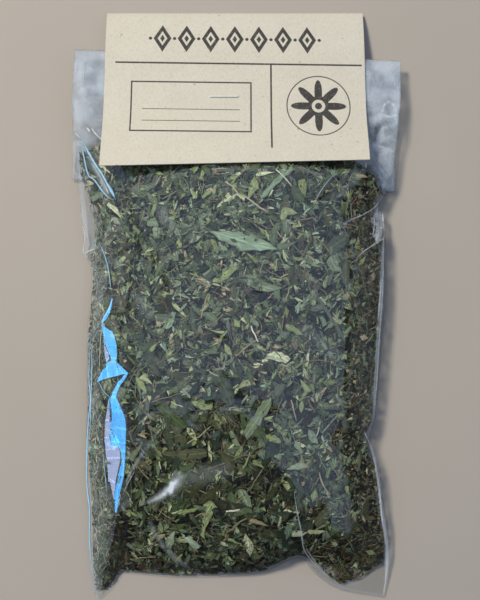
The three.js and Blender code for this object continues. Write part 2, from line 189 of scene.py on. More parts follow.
fill_bottom = curve(
    (-58, -121), (-54, -120), (-50.5, -116.5), (-48, -112.5), (-46, -111.5), (-23, -113),
    (10, -111.7), (26, -104.6), (30, -105.4), (35, -110), (38, -113), (41.4, -116.2), (46, -117.2),
    (51, -114.7), (57, -110.4), (62, -107),
)  # fmt: skip
fill_end = curve(
    (-62, 60), (-50, 63), (-20, 66), (20, 66), (40, 60), (46, 56), (52, 53), (56, 50), (60, 44)
)  # fmt: skip
empty_wing = curve((14, 0.5), (26, 5), (42, 3.5), (52, 1.5))  # the empty film's width at the left
# where the strip of pale, fine leaf at the left ends
pale_wing = curve((-120, -56), (-108, -54), (-99, -51.2), (-88, -49.1), (-80, -47))
card_under = curve(
    (50, 26.8), (54, 24.7), (62, 20.6), (70, 16.1), (76, 13.5), (82, 11.9), (90, 9.9),
    (101, 8), (110, 5.6), (116, 3.1), (117.4, 2.2),
)  # fmt: skip
belly_crest = curve(
    (-112, 22), (-85, 27), (-50, 29), (0, 30), (30, 29.2), (40, 28.4), (47, 27.4), (51, 25.97)
)  # fmt: skip
belly_floor = curve(
    (30, 0), (38, 0.9), (43, 1.9), (50, 2.2), (58, 2.6), (64, 3.4), (70, 5.2), (76, 7.9),
    (PINCH_Y, 10.6), (90, 15),
)  # fmt: skip
left_fold = curve(
    (-124, 1.2), (-108, 2.4), (-90, 3), (20, 3.2), (45, 4.6), (60, 7.6), (72, 11), (82, 11.07)
)  # fmt: skip
right_fold = curve(
    (-124, 1.2), (-112, 2.6), (-95, 6), (-50, 7.5), (20, 8), (45, 7), (60, 8), (72, 11), (82, 11.07)
)  # fmt: skip
WING = 5  # width of the flat wing that the left swells start with
# where the wing ends and the left shoulder starts
shoulder_foot = curve(
    (-124, -46), (-90, -48.5), (-78, -51), (-66, -54), (-28, -55.8), (-10, -54.4), (2, -51.4),
    (12, -51), (25, -53.6), (40, -57.2), (55, -60.3), (100, -61.3),
)  # fmt: skip
swell_from_left = straight(
    (0, 0), (1.5, 0.07), (4.8, 0.115), (5.6, 0.145), (14.2, 0.46), (24, 0.62), (36, 0.81),
    (46, 0.93), (56, 1),
)  # fmt: skip
# the same nearer to the card, where the shoulder is shorter
swell_up_there = straight(
    (0, 0), (1.5, 0.07), (5, 0.14), (9.2, 0.31), (20, 0.49), (32, 0.7), (44, 0.88), (54, 1)
)  # fmt: skip
swell_from_right = curve(
    (0, 0), (1.2, 0.16), (16, 0.62), (18, 0.66), (24, 0.76), (30, 0.86), (42, 1)
)  # fmt: skip
right_fullness = curve((-72, 1.17), (-58, 1))  # the crest reaches further right at the lower end
swell_from_end = curve(
    (0, 0.03), (1.2, 0.21), (3, 0.31), (8, 0.49), (16, 0.71), (28, 0.9), (42, 1)
)  # fmt: skip


def wing_width(y):
    return shoulder_foot(y) - left_side(y)


def crest(y):
    return np.where(y < 51, belly_crest(y), card_under(y) - CLEARANCE)


def floor_height(y):
    return soft_min(belly_floor(y), crest(y) - SHEETS)


def flap_top(y):
    return floor_height(y) - CLEARANCE


def card_back_top(y):
    return flap_top(y) - SHEETS - CLEARANCE


def fold_height(x, y):
    left, right = left_side(y), right_side(y)
    across = np.clip((x - left) / (right - left), 0, 1)
    resting = left_fold(y) * (1 - across) + right_fold(y) * across
    return np.where(y < PINCH_Y, resting, crest(y) - SHEETS / 2)


def front_height(x, y):
    """Height of the bag's front wall without its wrinkles."""
    edge = fold_height(x, y) + FILM_GAP / 2
    from_left, wing = x - left_side(y), wing_width(y)
    from_left = np.where(from_left < wing, from_left * WING / wing, from_left - wing + WING)
    from_right = (right_side(y) - x) * right_fullness(y)
    up_there = ramp(y + 30, 50)
    left_swell = swell_from_left(from_left) * (1 - up_there) + swell_up_there(from_left) * up_there
    sides = left_swell * swell_from_right(from_right)
    from_end = (y - fill_start(x)) * (1 - 0.25 * ramp(x - 24, 10))
    ear = 1 - 0.35 * ramp(x - 26, 8) * ramp(EAR_TOP_Y - y, 14)
    return edge + (crest(y) - edge) * sides * swell_from_end(from_end) * ear


def back_height(x, y):
    edge = fold_height(x, y) - FILM_GAP / 2
    pressed = (
        ramp(x - left_side(y), 12)
        * ramp(right_side(y) - x, 18)
        * ramp(y - bottom_edge(x), 14)
    )
    return np.where(
        y > PINCH_Y, floor_height(y), edge - (edge - floor_height(y)) * pressed
    )


def seen(across, down, height=None):
    """Drawing-frame (x, y) of a pixel of the picture, on the bag's front wall or at a height."""
    z = 20.0 if height is None else height
    for _ in range(6):
        x = (across - PICTURE[0] / 2) * (CAMERA_HEIGHT - z) / FOCAL_PIXELS + CAMERA_X
        y = (PICTURE[1] / 2 - down) * (CAMERA_HEIGHT - z) / FOCAL_PIXELS
        if height is not None:
            break
        z = 0.5 * z + 0.5 * float(front_height(x, y))
    return x, y


# ---------------------------------------------------------------- meshes

# Each kind of piece: its material slot, and the nodes that it replaces
FILM = ("clear_film", ("bag_film",))
LEAF = ("dried_leaf", ("herb_fill",))
CARD = ("kraft_card", ("header_card",))


def linked(name, data):
    made = bpy.data.objects.new(name, data)
    bpy.context.scene.collection.objects.link(made)
    return made


def piece(name, points, faces, materials, kind, uv=None, slots=None, sharp=None):
    """One object that rides on the packet. faces: an array with the same number of corners each;
    uv: one (u, v) per corner; slots: one material number per face; sharp: an angle past which an
    edge isn't smoothed."""
    points, faces = row_points(points), np.asarray(faces, np.int32)
    mesh = bpy.data.meshes.new(name)
    mesh.vertices.add(len(points))
    mesh.vertices.foreach_set("co", points.ravel())
    mesh.loops.add(faces.size)
    mesh.loops.foreach_set("vertex_index", faces.ravel())
    mesh.polygons.add(len(faces))
    starts = np.arange(0, faces.size, faces.shape[1], dtype=np.int32)
    mesh.polygons.foreach_set("loop_start", starts)
    if slots is not None:
        mesh.polygons.foreach_set("material_index", slots.astype(np.int32))
    mesh.update(calc_edges=True)
    if uv is not None:
        # The exporter keeps a map of this name, and so each leaf its own tile of the pattern.
        layer = mesh.uv_layers.new(name="OFBake")
        layer.uv.foreach_set("vector", uv.astype(np.float32).ravel())
    mesh.shade_smooth()
    if sharp is not None:
        mesh.set_sharp_from_angle(angle=sharp)
    for material in materials:
        mesh.materials.append(material)
    made = linked(name, mesh)
    slot, replaces = kind
    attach(made, "root")
    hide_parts(*replaces)


def there_and_back(x, y, front, back, back_x=None, back_y=None):
    """One ring of a tube: along a row of points, and back along the row under it."""
    under = np.c_[x if back_x is None else back_x, y if back_y is None else back_y, back]
    return np.r_[np.c_[x, y, front], under[::-1]]


def closed_loft(rings):
    """Points and four-sided faces of a tube of rings, each there and back, shut at both ends."""
    points, size = np.concatenate(rings), len(rings[0])
    row, k = np.meshgrid(np.arange(len(rings) - 1), np.arange(size), indexing="ij")
    near, after = row * size, (k + 1) % size
    faces = np.stack((near + k, near + after, near + size + after, near + size + k), -1)
    seam = np.arange(size // 2 - 1)
    first = np.c_[seam + 1, seam, size - 1 - seam, size - 2 - seam]
    last = first[:, ::-1] + (len(rings) - 1) * size
    return points, np.concatenate([faces.reshape(-1, 4), first, last])


def joined(parts):
    """One mesh of several: points, faces, and what else each part has."""
    points, faces, *others = zip(*parts)
    firsts = np.cumsum([0, *map(len, points[:-1])])
    faces = [own + first for own, first in zip(faces, firsts)]
    return [np.concatenate(column) for column in (points, faces, *others)]


# ---------------------------------------------------------------- shader nodes


class Nodes:
    """Short calls for building a node tree. A value may be a number, a colour or a socket."""

    def __init__(self, tree):
        self.tree = tree
        tree.nodes.clear()

    def node(self, kind, settings=None, **inputs):
        made = self.tree.nodes.new("ShaderNode" + kind)
        for name, value in (settings or {}).items():
            setattr(made, name, value)
        for name, value in inputs.items():
            self.put(made.inputs[name.replace("_", " ")], value)
        return made

    def put(self, socket, value):
        if isinstance(value, bpy.types.NodeSocket):
            self.tree.links.new(value, socket)
        elif socket.type == "RGBA" and len(value) == 3:
            socket.default_value = (*value, 1)
        else:
            socket.default_value = value

    def filled(self, made, values, output=0):
        for socket, value in zip(made.inputs, values):
            self.put(socket, value)
        return made.outputs[output]

    def math(self, operation, *values, clamp=False):
        made = self.node("Math", {"operation": operation, "use_clamp": clamp})
        return self.filled(made, values)

    def chain(self, operation, first, *others):
        for other in others:
            first = self.math(operation, first, other)
        return first

    def product(self, *values):
        return self.chain("MULTIPLY", *values)

    def largest(self, *values):
        return self.chain("MAXIMUM", *values)

    def away(self, value, centre):
        return self.math("ABSOLUTE", self.math("SUBTRACT", value, centre))

    def diagonal(self, a, b):
        squares = (self.math("POWER", side, 2.0) for side in (a, b))
        return self.math("SQRT", self.math("ADD", *squares))

    def step(self, value, low, high, start=0.0, end=1.0):
        """start below low, end above high, and smooth between them."""
        made = self.node("MapRange", {"interpolation_type": "SMOOTHSTEP"})
        if low > high:
            low, high, start, end = high, low, end, start
        return self.filled(made, (value, low, high, start, end))

    def mix(self, share, a, b, blend="MIX"):
        made = self.node("Mix", {"data_type": "RGBA", "blend_type": blend})
        for name, value in (("Factor_Float", share), ("A_Color", a), ("B_Color", b)):
            socket = next(s for s in made.inputs if s.identifier == name)
            self.put(socket, value)
        return next(s for s in made.outputs if s.identifier == "Result_Color")

    def ramp(self, value, stops, interpolation="LINEAR"):
        made = self.node("ValToRGB", Fac=value)
        made.color_ramp.interpolation = interpolation
        elements = made.color_ramp.elements
        while len(elements) < len(stops):
            elements.new(0.5)
        for element, (place, colour) in zip(elements, stops):
            element.position = place
            element.color = (*colour, 1)
        return made.outputs["Color"]

    def noise(self, vector, scale, detail=3.0, roughness=0.5):
        inputs = {"Vector": vector, "Scale": scale, "Detail": detail, "Roughness": roughness}
        return self.node("TexNoise", **inputs).outputs["Fac"]

    def vector(self, operation, *values, output=0):
        return self.filled(self.node("VectorMath", {"operation": operation}), values, output)

    def stretched(self, vector, *factors):
        return self.vector("MULTIPLY", vector, factors)

    def separate(self, vector):
        return self.node("SeparateXYZ", Vector=vector).outputs

    def bump(self, height, strength, distance):
        made = self.node("Bump", Height=height, Strength=strength, Distance=distance)
        return made.outputs["Normal"]

    def place(self):
        return self.node("TexCoord").outputs["Object"]

    def shader(self, kind, **inputs):
        return self.node("Bsdf" + kind, **inputs).outputs[0]

    def blend(self, share, first, second):
        """The first shader where the share is 0, the second where it is 1."""
        made = self.node("MixShader")
        return self.filled(made, (share, first, second))


def material(name):
    """The nodes of a new material, and a call that sets its surface and returns it."""
    made = bpy.data.materials.new(name)
    made.use_nodes = True
    nodes = Nodes(made.node_tree)

    def finished(shader):
        nodes.node("OutputMaterial", Surface=shader)
        return made

    return nodes, finished


# ---------------------------------------------------------------- film

# Flat facet of the right end: its corners in picture pixels, and its slopes along x and y. It lies
# at the wall's height at its middle.
FACET = ((341, 229), (346, 219), (374, 212), (375, 237), (365, 243), (354, 240))
FACET_SLOPES = (-0.62, 0.1)

# Pinched-up folds of the left shoulder, each with a flat top: slope across the bag, and pairs of
# picture pixels on its two long borders. The two steeper slopes mirror the blue window, and the
# gentle one mirrors the pale pane over it.
DEEP, STEEP, EASY = 0.81, 0.75, 0.6
PINCHES = (
    (STEEP, ((112, 299), (112.8, 299)), ((109.6, 306), (111.8, 306)), ((106.4, 312), (109.9, 312)),
     ((102, 319), (106.6, 318.5)), ((101.2, 321.6), (102.4, 322.6))),
    (STEEP, ((101.8, 324.3), (102.4, 324.3)), ((102.4, 328), (106.6, 328.2)),
     ((103, 332), (112.6, 331.8)), ((104, 336.5), (114.7, 336.7)), ((106, 345), (116.5, 345.3)),
     ((108.4, 352), (117.1, 352)), ((110, 358), (116.6, 358)), ((111.2, 361.6), (115.6, 361.8))),
    (STEEP, ((97.8, 380.6), (98.2, 381.4)), ((101.2, 372.2), (103, 379.3)),
     ((106.7, 363.4), (108.6, 377.8)), ((111, 360.2), (112.6, 376.6)),
     ((116, 360.8), (117.2, 375.2)), ((121, 366), (122.3, 374)), ((127.4, 372), (127.8, 373.4))),
    (STEEP, ((125.3, 373.8), (127.8, 373.6)), ((122.6, 376.8), (125.9, 378)),
     ((118.6, 381), (122.6, 382)), ((115.1, 386.6), (119.3, 387)), ((112.2, 392), (117, 392.5)),
     ((110.7, 397.6), (115.9, 397.4))),
    (DEEP, ((110, 396.4), (115.6, 396.2)), ((109.4, 404), (119, 404)), ((110, 411), (122.6, 411)),
     ((109.8, 420), (125.7, 420)), ((110.4, 428), (126.4, 429)), ((113, 435), (126.2, 436)),
     ((116.8, 442), (125.8, 443)), ((119.6, 451), (125.5, 451.6))),
    (DEEP, ((120.4, 449.6), (125.6, 450)), ((121.2, 463), (125.4, 463.5)),
     ((118.5, 475), (124.2, 475)), ((116.3, 487), (121.6, 487)), ((115, 497), (119.6, 497)),
     ((114.9, 504), (118.4, 504)), ((115.8, 511), (117.2, 511))),
    (STEEP, ((109.6, 430), (112.8, 430)), ((109, 436.5), (116.4, 436.5)),
     ((109.8, 441.5), (119.6, 441.5)), ((111, 445), (118.8, 445.4)),
     ((112.2, 449), (114.4, 449.2))),
    (EASY, ((108.4, 400), (109.2, 400)), ((107, 411), (109.6, 411)), ((105.6, 420), (110.2, 420)),
     ((104.9, 430), (110.2, 430)), ((105, 437), (109.6, 437)), ((105.4, 443), (110.8, 444.4)),
     ((106.2, 449.6), (119.8, 446)), ((107.4, 458), (120.4, 458))),
    (EASY, ((107.6, 457.2), (120.6, 457.4)), ((108.6, 470), (118, 472)),
     ((109.6, 479), (116, 482)), ((111.6, 487), (115, 491)), ((113.4, 494), (114.4, 497))),
    (EASY, ((103.8, 338), (104.2, 338)), ((104.2, 346), (105.6, 346)), ((104.6, 353), (108, 353)),
     ((105.4, 359), (109.2, 359)), ((106, 361.6), (107, 361.8))),
)  # fmt: skip
PINCH_OVERLAP = 0.25  # of one stretch over the next
SKIRT = 0.35  # how far its skirts slant outwards

# Milky marks in the film, painted highlights and painted sheen where the film mirrors light, and on
# the flap also clearer patches (negative): picture pixels of two ends, half width in pixels, and
# how milky
FRONT_PAINTED_SHEEN = (
    ((149, 502.5), (165, 494), 3.2, 0.3), ((158, 498), (176, 483), 6, 0.3),
    ((171, 491), (178, 477), 8.5, 0.26), ((171.6, 483.6), (170.8, 491.6), 3.4, 0.9),
    ((164, 494), (178, 480), 3, 0.3), ((157, 433), (142, 454), 3.2, 0.08),
    ((142, 454), (130, 473), 2.6, 0.15), ((130, 473), (121, 495), 2, 0.22),
    ((184, 479), (222, 470), 13, 0.08), ((150, 523), (163, 546), 4, 0.1),
    ((163, 546), (188, 569), 4.4, 0.12), ((161, 211), (168, 222), 8, 0.1),
    ((139, 300), (149, 312), 9, 0.08), ((305, 330), (330, 352), 12, 0.06),
    ((228, 168), (300, 168), 3, 0.03), ((367, 256), (364, 420), 22, 0.036),
)  # fmt: skip
WING_PAINTED_SHEEN = (
    ((86, 148), (97, 168), 3.6, 0.2), ((97, 168), (111, 194), 4.6, 0.3),
    ((81, 200), (86, 236), 5, 0.1), ((101, 280), (97, 330), 7, 0.06),
)  # fmt: skip
FLAP_CLEARINGS_AND_PAINTED_SHEEN = (
    ((386.6, 108.5), (386.8, 115.5), 5, -0.6), ((383, 124.6), (389, 124.2), 5.2, -0.5),
    ((377, 127.5), (371, 142), 5.4, -1), ((382, 145.6), (389, 145), 3.6, -0.5),
    ((389, 131), (389, 136), 4.4, -0.3), ((384, 160), (386, 184), 17, 0.16),
    ((368, 100), (370, 120), 12, 0.08), ((380.4, 114), (382.8, 107.4), 2.2, 0.16),
    ((382.8, 107.4), (387, 104.4), 2.2, 0.16), ((387, 104.4), (391.4, 107.6), 2.2, 0.16),
    ((391.4, 107.6), (394, 114), 2.2, 0.16), ((377, 117.2), (386, 118.8), 2.4, 0.2),
    ((386, 118.8), (394, 118.2), 2.4, 0.16), ((380, 129.8), (387, 129.6), 2, 0.16),
    ((377.6, 120), (380.4, 131), 2.2, 0.18), ((380.4, 131), (380.8, 143), 2.4, 0.22),
    ((382, 140.4), (387, 139.4), 2, 0.16), ((387, 139.4), (393, 142), 2, 0.14),
    ((394.4, 110), (394.6, 126), 3, 0.18), ((377, 149.6), (392, 152), 2.2, 0.2),
    ((380, 187), (392, 184), 5, 0.2),
)  # fmt: skip

# Creases: picture pixels, height and half width in millimetres
CREASES = (
    (((118, 508), (122, 500), (128, 490), (140, 470), (150, 450), (160, 436)), 0.12, 3),
    (((299, 500), (300, 515), (304, 548), (316, 566), (330, 580)), 0.7, 1.4),
    (((349, 163), (330, 184), (302, 212)), 0.8, 1.6),
    (((372, 162), (352, 190), (330, 212)), 0.6, 1.3),
    (((332, 222), (350, 215), (372, 207)), 0.7, 1.2),
    (((386, 190), (378, 205), (374, 222), (380, 245)), 0.8, 1.2),
    (((150, 535), (170, 553), (190, 571)), 0.7, 1.6),
    (((103, 453), (105, 478), (108, 494), (110, 520)), 0.4, 0.8),
    (((342, 290), (345, 340), (343, 400), (352, 450)), 0.5, 1.6),
    (((92, 140), (98, 160), (108, 186), (116, 200)), 0.5, 1),
)  # fmt: skip

# Sharp folds and film edges, carrying ribbons coloured as painted highlights and painted
# reflections of the blue window: picture pixels, width in millimetres, and look
FOLD_GLINTS = (
    (((80.5, 140), (84, 158), (88.5, 176), (93, 179), (103, 192), (109, 198), (114, 200.5)),
     0.8, "blue"),
    (((82, 140), (86.3, 149), (91.5, 158.5), (96, 166), (101, 173), (108, 186), (113, 195),
     (116, 200)), 1.1, "blue"),
    (((106, 182), (110.5, 190), (115, 198.5)), 1.5, "blue"),
    (((74.7, 133), (78, 136), (81.5, 140)), 0.6, "pale"),
    (((105.5, 187), (107, 191), (108.8, 194)), 0.6, "pale"),
    (((84, 147), (92, 162), (101, 178), (108, 191)), 0.25, "pale"),
    (((82.2, 226), (84.5, 237), (83, 251), (88, 260)), 0.45, "pale"),
    (((83.5, 254.5), (89, 251), (95.3, 249)), 0.6, "pale"),
    (((94.5, 239), (96, 249)), 0.4, "blue"),
    (((98.6, 241), (105, 257), (108.4, 271), (110.8, 291)), 0.5, "blue"),
    (((111.8, 300), (108.6, 309), (104, 317), (101.6, 322)), 0.7, "pale"),
    (((101.2, 328), (100, 344), (99.4, 359), (98.8, 374)), 0.3, "pale"),
    (((98, 381), (103, 391), (110.5, 398)), 0.3, "blue"),
    (((98, 381), (112, 377), (126, 373)), 0.3, "blue"),
    (((87, 338), (89.6, 355), (88.4, 376), (90.2, 398), (87.8, 422), (86.5, 448), (86.6, 480),
     (89.6, 516), (89.3, 537), (91, 562), (93.3, 580), (95.6, 595)), 0.8, "blue"),
    (((90.4, 342), (91.8, 364), (91.2, 386), (90.2, 420), (89, 442)), 0.5, "blue"),
    (((102.9, 454), (104.4, 471), (106.7, 494)), 0.4, "blue"),
    (((123.6, 457), (122.8, 474), (117.5, 491), (115.9, 511)), 0.45, "blue"),
    (((134, 472), (128, 483), (122, 496)), 0.4, "soft"),
    (((103, 329), (107, 338), (110.5, 349), (112.6, 357)), 0.3, "deep"),
    (((110.6, 403), (111, 417), (113, 428), (117.4, 436), (121, 446), (123.4, 456)), 0.35, "deep"),
    (((104, 365.6), (111, 364), (118, 370), (125, 372.4)), 0.25, "deep"),
    (((120.5, 494), (119, 501), (118.5, 507)), 0.9, "pale"),
    (((390.6, 180), (383, 196), (375, 207), (346, 223)), 0.4, "soft"),
    (((375, 213), (383.6, 223), (384.6, 236), (375, 244), (363, 252), (355.7, 259)), 0.5, "soft"),
    (((378, 207), (379, 222), (377, 244)), 3.6, "soft"),
    (((373, 216), (374, 226), (373, 236)), 0.6, "soft"),
    (((376, 240), (381, 230), (383, 222)), 1, "soft"),
    (((382.5, 213), (383, 218), (383.5, 223)), 0.6, "pale"),
    (((377, 164), (384, 174), (392, 184)), 2.6, "faint"),
    (((366, 163), (365.5, 168)), 0.9, "pale"),
    (((383.6, 238), (382.6, 256), (381.4, 294), (378.8, 330), (376.4, 370), (374.8, 396),
     (373.8, 420)), 1.7, "faint"),
    (((384.4, 238), (383.6, 256), (382.6, 294), (380, 330), (377.6, 370), (376, 396),
     (374.8, 420)), 0.5, "soft"),
    (((381.6, 278), (380.4, 296), (378.4, 318)), 0.8, "soft"),
    (((365, 433), (371, 446), (376.6, 466), (380.2, 488), (381.8, 509), (385, 529), (387, 543),
     (387.8, 556), (386.6, 574), (383.8, 595)), 1.9, "soft"),
    (((379.6, 489), (381.3, 503), (382, 515), (383, 528)), 0.7, "pale"),
    (((294.3, 494), (297, 511), (300.7, 529), (303.6, 548), (317, 567), (334, 581), (346, 590)),
     0.6, "soft"),
    (((306, 548), (313, 559), (322, 570)), 0.4, "soft"),
    (((91.5, 127.5), (94.5, 132.5), (103, 141)), 0.8, "pale"),
    (((86.4, 127.5), (88.6, 130), (90, 133)), 1, "pale"),
    (((334, 174), (322, 189), (313, 205)), 0.3, "soft"),
)  # fmt: skip


def on_polylines(x, y, lines):
    """Height that creases add: each is a ridge with straight flanks and tapered ends."""
    added = np.zeros_like(x)
    for points, height, half in lines:
        along = distances(points)
        nearest, where = np.full_like(x, 1e9), np.zeros_like(x)
        for (x0, y0), (x1, y1), start in zip(points, points[1:], along):
            length = math.hypot(x1 - x0, y1 - y0)
            t = ((x - x0) * (x1 - x0) + (y - y0) * (y1 - y0)) / length**2
            t = np.clip(t, 0, 1)
            away = np.hypot(x - x0 - t * (x1 - x0), y - y0 - t * (y1 - y0))
            closer = away < nearest
            nearest = np.where(closer, away, nearest)
            where = np.where(closer, start + t * length, where)
        ends = ramp(np.minimum(where, along[-1] - where) + 0.4, along[-1] * 0.3 + 0.4)
        flank = np.clip(1 - nearest / half, 0, 1)
        added = np.maximum(added, height * ends * (0.75 * flank + 0.25 * flank**2))
    return added


def chance_creases(rng):
    """Long shallow creases, mostly along the bag, and short ones that cross them."""
    lines = []
    for _ in range(CREASE_COUNT):
        x, y = rng.uniform(-58, 60), rng.uniform(-108, 66)
        long = rng.uniform(6, 30)
        turn = rng.normal(math.pi / 2, 0.55)
        points = [(x, y)]
        for _ in range(3):
            turn += rng.normal(0, 0.22)
            x, y = x + long / 3 * math.cos(turn), y + long / 3 * math.sin(turn)
            points.append((x, y))
        height = rng.uniform(0.06, 0.26) * (0.55 if points[0][0] < -20 else 1)
        lines.append((np.array(points), height, rng.uniform(0.9, 2.6)))
    return lines


def flap_creases(rng):
    """Creases of the loose flap, most of them at its right side."""
    lines = []
    for _ in range(FLAP_CREASE_COUNT):
        x, y = rng.uniform(54, 68), rng.uniform(48, 98)
        if rng.random() < 0.25:
            x = rng.uniform(-66, -54)
        turn, long = rng.uniform(0.2, 2.7), rng.uniform(3, 12)
        middle = (x + 0.5 * long * math.cos(turn), y + 0.5 * long * math.sin(turn))
        turn += rng.normal(0, 0.4)
        end = (middle[0] + 0.5 * long * math.cos(turn), middle[1] + 0.5 * long * math.sin(turn))
        points = np.array([(x, y), middle, end])
        lines.append((points, rng.uniform(0.3, 1.0), rng.uniform(0.7, 1.7)))
    return lines


def inside(x, y, corners):
    """Whether points lie in a polygon."""
    within = np.zeros(np.shape(x), bool)
    for (x0, y0), (x1, y1) in zip(corners, [*corners[1:], corners[0]]):
        if y0 == y1:
            continue
        crossing = (y0 > y) != (y1 > y)
        within ^= crossing & (x < x0 + (y - y0) * (x1 - x0) / (y1 - y0))
    return within


def on_wall(pixels):
    return np.array([seen(*pixel) for pixel in pixels])


FACET_CORNERS = on_wall(FACET)
facet_x, facet_y = FACET_CORNERS.mean(0)
FACET_LEVEL = (
    float(front_height(facet_x, facet_y)) - FACET_SLOPES[0] * facet_x - FACET_SLOPES[1] * facet_y
)
OWN_CREASES = [(on_wall(pixels), height, half) for pixels, height, half in CREASES]
CHANCE_CREASES = chance_creases(np.random.default_rng(CREASE_SEED))
FLAP_CREASES = flap_creases(np.random.default_rng(FLAP_SEED))


def wall_height(x, y):
    """Height of the front wall with its facet, and where that is."""
    faceted = inside(x, y, FACET_CORNERS)
    facet = FACET_LEVEL + FACET_SLOPES[0] * x + FACET_SLOPES[1] * y
    return np.where(faceted, facet, front_height(x, y)), faceted


def film_front(x, y):
    """Height of the front wall with its facet, waves and creases."""
    z, faceted = wall_height(x, y)
    loose = ramp(NECK_Y - y, 14) * ramp(y - bottom_edge(x), 5)
    loose = loose * (0.3 + 0.7 * ramp(x - shoulder_foot(y) - 12, 6))
    wave = 0.12 + 0.3 * waves(x / 17, y / 31) + 0.12 * bumps(x / 4.2, y / 5.5)
    wave += 0.04 * bumps(x / 1.7 + 40, y / 2.1)
    folded = 0.12 + 0.1 * waves(x / 5 + 90, y / 7)
    chance = on_polylines(x, y, CHANCE_CREASES)
    own = on_polylines(x, y, OWN_CREASES)
    return z + loose * (np.where(faceted, folded, wave + chance) + own)


def film_back(x, y):
    z = back_height(x, y)
    lifted = 0.25 * np.abs(waves(x / 13 + 60, y / 19)) + 0.1 * np.abs(bumps(x / 4 + 9, y / 5))
    return z + lifted * ramp(NECK_Y - y, 14) + 0.04


def film_columns():
    """Shares of the bag's width, from -1 to 1, closer together near its two sides."""
    width, left_part, right_part = 122.0, 24, 20
    left = np.r_[np.arange(0, 5, 0.6), np.arange(5, left_part, 0.42)]
    middle = np.linspace(left_part, width - right_part, 52, endpoint=False)
    right = np.linspace(width - right_part, width, 28)
    return 2 * np.r_[left, middle, right] / width - 1


def tilted(x, y, amount):
    """y turned with the flap, which hangs a little askew."""
    return y - (x - FLAP_SIDESTEP) * math.tan(FLAP_TILT) * amount


def body_places(shares, y):
    """x and y of one row of the filled bag or of its neck."""
    fade = 1 - ramp(y - SEAM_Y, 30)
    side_y = y - EAR_LENGTH * fade
    left, right = left_side(side_y), right_side(side_y)
    ripple = 0.22 * waves(y / 5.0, 3.3) + 0.1 * bumps(y / 2.0, 7.7)
    x = (left + right) / 2 + (right - left + 2 * ripple) / 2 * shares
    tuck = (bottom_edge(x) - SEAM_Y) * fade
    return x, tilted(x, y + tuck, ramp(y - 55, 35))


def flap_places(shares, y):
    middle = FLAP_SIDESTEP - (FILM_FOLD_Y - y) * math.tan(FLAP_TILT)
    x = middle + shares * FLAT_WIDTH / 2
    return x, tilted(x, np.full_like(x, y), 1)


def flap_height(x, y):
    lift = 0.5 * waves(x / 15 + 30, y / 17) + 0.14 * bumps(x / 4 + 70, y / 4)
    lift = lift * ramp(np.abs(x) - 45, 12) + on_polylines(x, y, FLAP_CREASES)
    return flap_top(y) + np.clip(lift, -0.1, 2) * ramp(np.abs(x) - 53, 4)


BELLY_ROWS = np.r_[
    np.arange(SEAM_Y, EAR_TOP_Y, 1.0),
    np.arange(EAR_TOP_Y, 58, 0.6),
    np.arange(58, FILM_FOLD_Y + 0.1, 2.0),
]
BEND_ANGLES = np.linspace(0, math.pi, 6)[1:-1]  # round the fold behind the card
FLAP_ROWS = np.arange(FILM_FOLD_Y, FLAP_END_Y - 0.1, -1.0)


def film_rings():
    """Rings round both walls, from the bottom seam to the mouth."""
    shares, rings = film_columns(), []
    for row in BELLY_ROWS:
        x, y = body_places(shares, row)
        rings.append(there_and_back(x, y, film_front(x, y), film_back(x, y)))
    radius = (SHEETS + CLEARANCE) / 2
    x, _ = flap_places(shares, FILM_FOLD_Y)
    y = tilted(x, FILM_FOLD_Y, 1)
    middle = crest(y) - SHEETS / 2 - radius
    for angle in BEND_ANGLES:
        up, out = math.cos(angle), radius * math.sin(angle)
        near, far = ((radius + side * FILM_GAP / 2) * up for side in (1, -1))
        rings.append(there_and_back(x, y + out, middle + near, middle + far))
    for row in FLAP_ROWS:
        x, y = flap_places(shares, row)
        top = flap_height(x, y)
        rings.append(there_and_back(x, y, top - FILM_GAP - 0.3, top))
    return rings


def film_bag(looks):
    """The whole bag. looks: materials of its belly, flap and neck, wing, and folded facet."""
    rings = film_rings()
    points, faces = closed_loft(rings)
    x, y, _ = points[faces].mean(1).T
    ring, at = np.divmod(np.arange(len(faces)), len(rings[0]))
    flap = ring >= len(rings) - len(FLAP_ROWS) - 1
    neck = y > np.where(np.abs(x) > 40, fill_end(x) + 1.5, 74)
    lower = ramp(PALE_WING_Y - y, 8)
    wing = x < (shoulder_foot(y) + 9) * (1 - lower) + (pale_wing(y) + 1) * lower
    folded = wall_height(x, y)[1] & (at < len(rings[0]) // 2)
    slots = np.where(folded, 3, np.where(flap | neck, 1, np.where(wing, 2, 0)))
    piece("film_bag", points, faces, looks, FILM, slots=slots)


